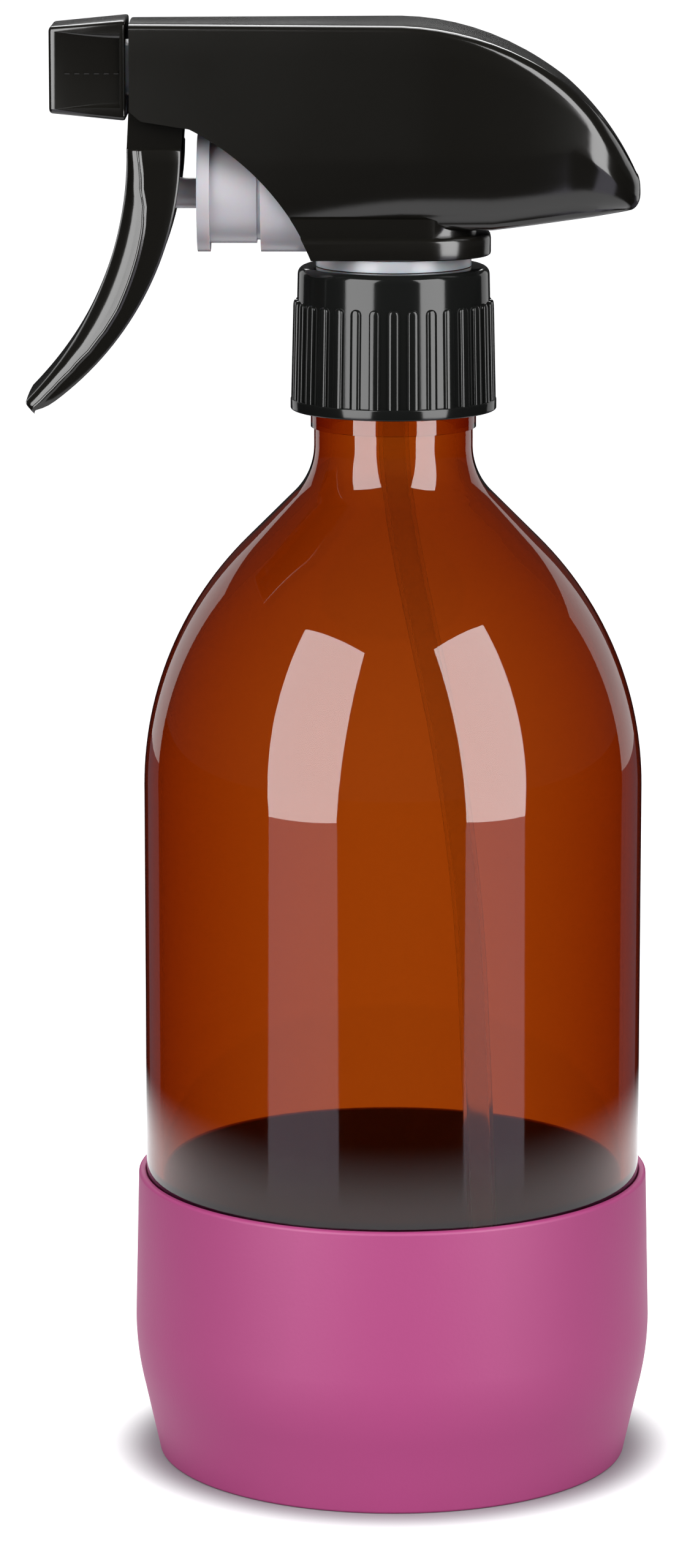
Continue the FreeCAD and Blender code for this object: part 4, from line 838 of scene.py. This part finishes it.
def kinds_of_ray(tree):
    """Two masks: rays that show the background, and rays that only a surface reflects."""
    path = tree.nodes.new("ShaderNodeLightPath").outputs
    shows = maths(tree, "MAXIMUM", path["Is Camera Ray"], path["Is Transmission Ray"])
    mirrors = maths(tree, "SUBTRACT", path["Is Glossy Ray"], path["Is Transmission Ray"], True)
    return shows, mirrors


# %% Floor
# Distances from the middle where the painted shadow round the sleeve's foot begins and ends
SHADOW_STARTS, SHADOW_ENDS = 0.036, 0.047
TABLE_FADES, TABLE_ENDS = 0.2, 0.26
FLOOR_SIZE = 9.0


def floor_finish():
    """White to the eye away from the sleeve. Close to it the floor's glow fades out, a painted
    shadow, and only the lamps light it.
    """
    made = bpy.data.materials.new("floor_paint")
    made.use_nodes = True
    tree = made.node_tree
    skin = tree.nodes["Principled BSDF"]
    skin.inputs["Base Color"].default_value = (0.4, 0.4, 0.42, 1.0)
    skin.inputs["Roughness"].default_value = 0.9
    skin.inputs["Specular IOR Level"].default_value = 0.0
    skin.inputs["Emission Strength"].default_value = 1.0
    polish = tree.nodes.new("ShaderNodeBsdfGlossy")
    polish.inputs["Color"].default_value = (0.13, 0.125, 0.15, 1.0)
    polish.inputs["Roughness"].default_value = 0.12
    either = tree.nodes.new("ShaderNodeMixShader")
    place = tree.nodes.new("ShaderNodeTexCoord")
    away = tree.nodes.new("ShaderNodeVectorMath")
    away.operation = "LENGTH"
    tree.links.new(place.outputs["Object"], away.inputs[0])
    shows, mirrors = kinds_of_ray(tree)
    # The floor's glow fades out close to the sleeve: a painted shadow round the foot
    glow_past_painted_shadow = ranged(tree, away.outputs["Value"], (SHADOW_STARTS, SHADOW_ENDS), (0, 1), True)
    past_table = ranged(tree, away.outputs["Value"], (TABLE_FADES, TABLE_ENDS), (0, 1), True)
    glow_with_painted_shadow = maths(tree, "MULTIPLY", maths(tree, "MAXIMUM", shows, mirrors), glow_past_painted_shadow)
    tree.links.new(glow_with_painted_shadow, skin.inputs["Emission Color"])
    tree.links.new(maths(tree, "MULTIPLY", mirrors, past_table), either.inputs["Fac"])
    tree.links.new(skin.outputs[0], either.inputs[1])
    tree.links.new(polish.outputs[0], either.inputs[2])
    tree.links.new(either.outputs[0], tree.nodes["Material Output"].inputs["Surface"])
    return made


bm = bmesh.new()
bmesh.ops.create_grid(bm, x_segments=1, y_segments=1, size=FLOOR_SIZE / 2)
plane = bpy.data.objects.new("floor", finish_mesh(bm, "floor"))
plane.data.materials.append(floor_finish())
bpy.context.scene.collection.objects.link(plane)

# %% World
world = bpy.data.worlds.new("studio")
bpy.context.scene.world = world
world.use_nodes = True
air = world.node_tree
shows_sky, mirrors_sky = kinds_of_ray(air)
sky_level = ranged(air, shows_sky, (0, 1), (0.3, 1.0))
sky_dim = ranged(air, mirrors_sky, (0, 1), (1.0, 0.12))
sky = air.nodes["Background"]
sky.inputs["Color"].default_value = (1, 1, 1, 1)
air.links.new(maths(air, "MULTIPLY", sky_level, sky_dim), sky.inputs["Strength"])


# %% Soft boxes
AIM = Vector((0, 0, 0.12))


def soft_box(name, azimuth, elevation, distance, size, power, mirrored=False):
    """A lamp that faces AIM from those angles. It only lights, or only shows in reflections."""
    a, e = math.radians(azimuth), math.radians(elevation)
    away = Vector((math.sin(a) * math.cos(e), -math.cos(a) * math.cos(e), math.sin(e)))
    lamp = bpy.data.lights.new(name, "AREA")
    lamp.shape = "RECTANGLE"
    lamp.size, lamp.size_y = size
    lamp.energy = power
    holder = bpy.data.objects.new(name, lamp)
    holder.location = AIM + away * distance
    holder.rotation_euler = away.to_track_quat("Z", "Y").to_euler()
    holder.visible_camera = False
    holder.visible_glossy = mirrored
    holder.visible_transmission = False
    holder.visible_volume_scatter = False
    holder.visible_diffuse = not mirrored
    bpy.context.scene.collection.objects.link(holder)


soft_box("light_left", -38, 30, 1.2, (0.9, 0.9), 7.6)
soft_box("light_right", 40, 30, 1.2, (0.9, 0.9), 7.6)
soft_box("light_above", 0, 84, 1.3, (1.6, 1.6), 9.0)
soft_box("box_left", -41, 18, 0.64, (0.41, 0.74), 8.2, mirrored=True)
soft_box("box_right", 47, 18, 0.64, (0.36, 0.74), 7.6, mirrored=True)
soft_box("strip_behind", 180, 48, 0.9, (0.6, 0.9), 9.0, mirrored=True)
soft_box("rim_left", -146, 4, 0.9, (0.3, 0.5), 0.4, mirrored=True)
soft_box("rim_right", 142, 4, 0.9, (0.4, 0.5), 0.5, mirrored=True)
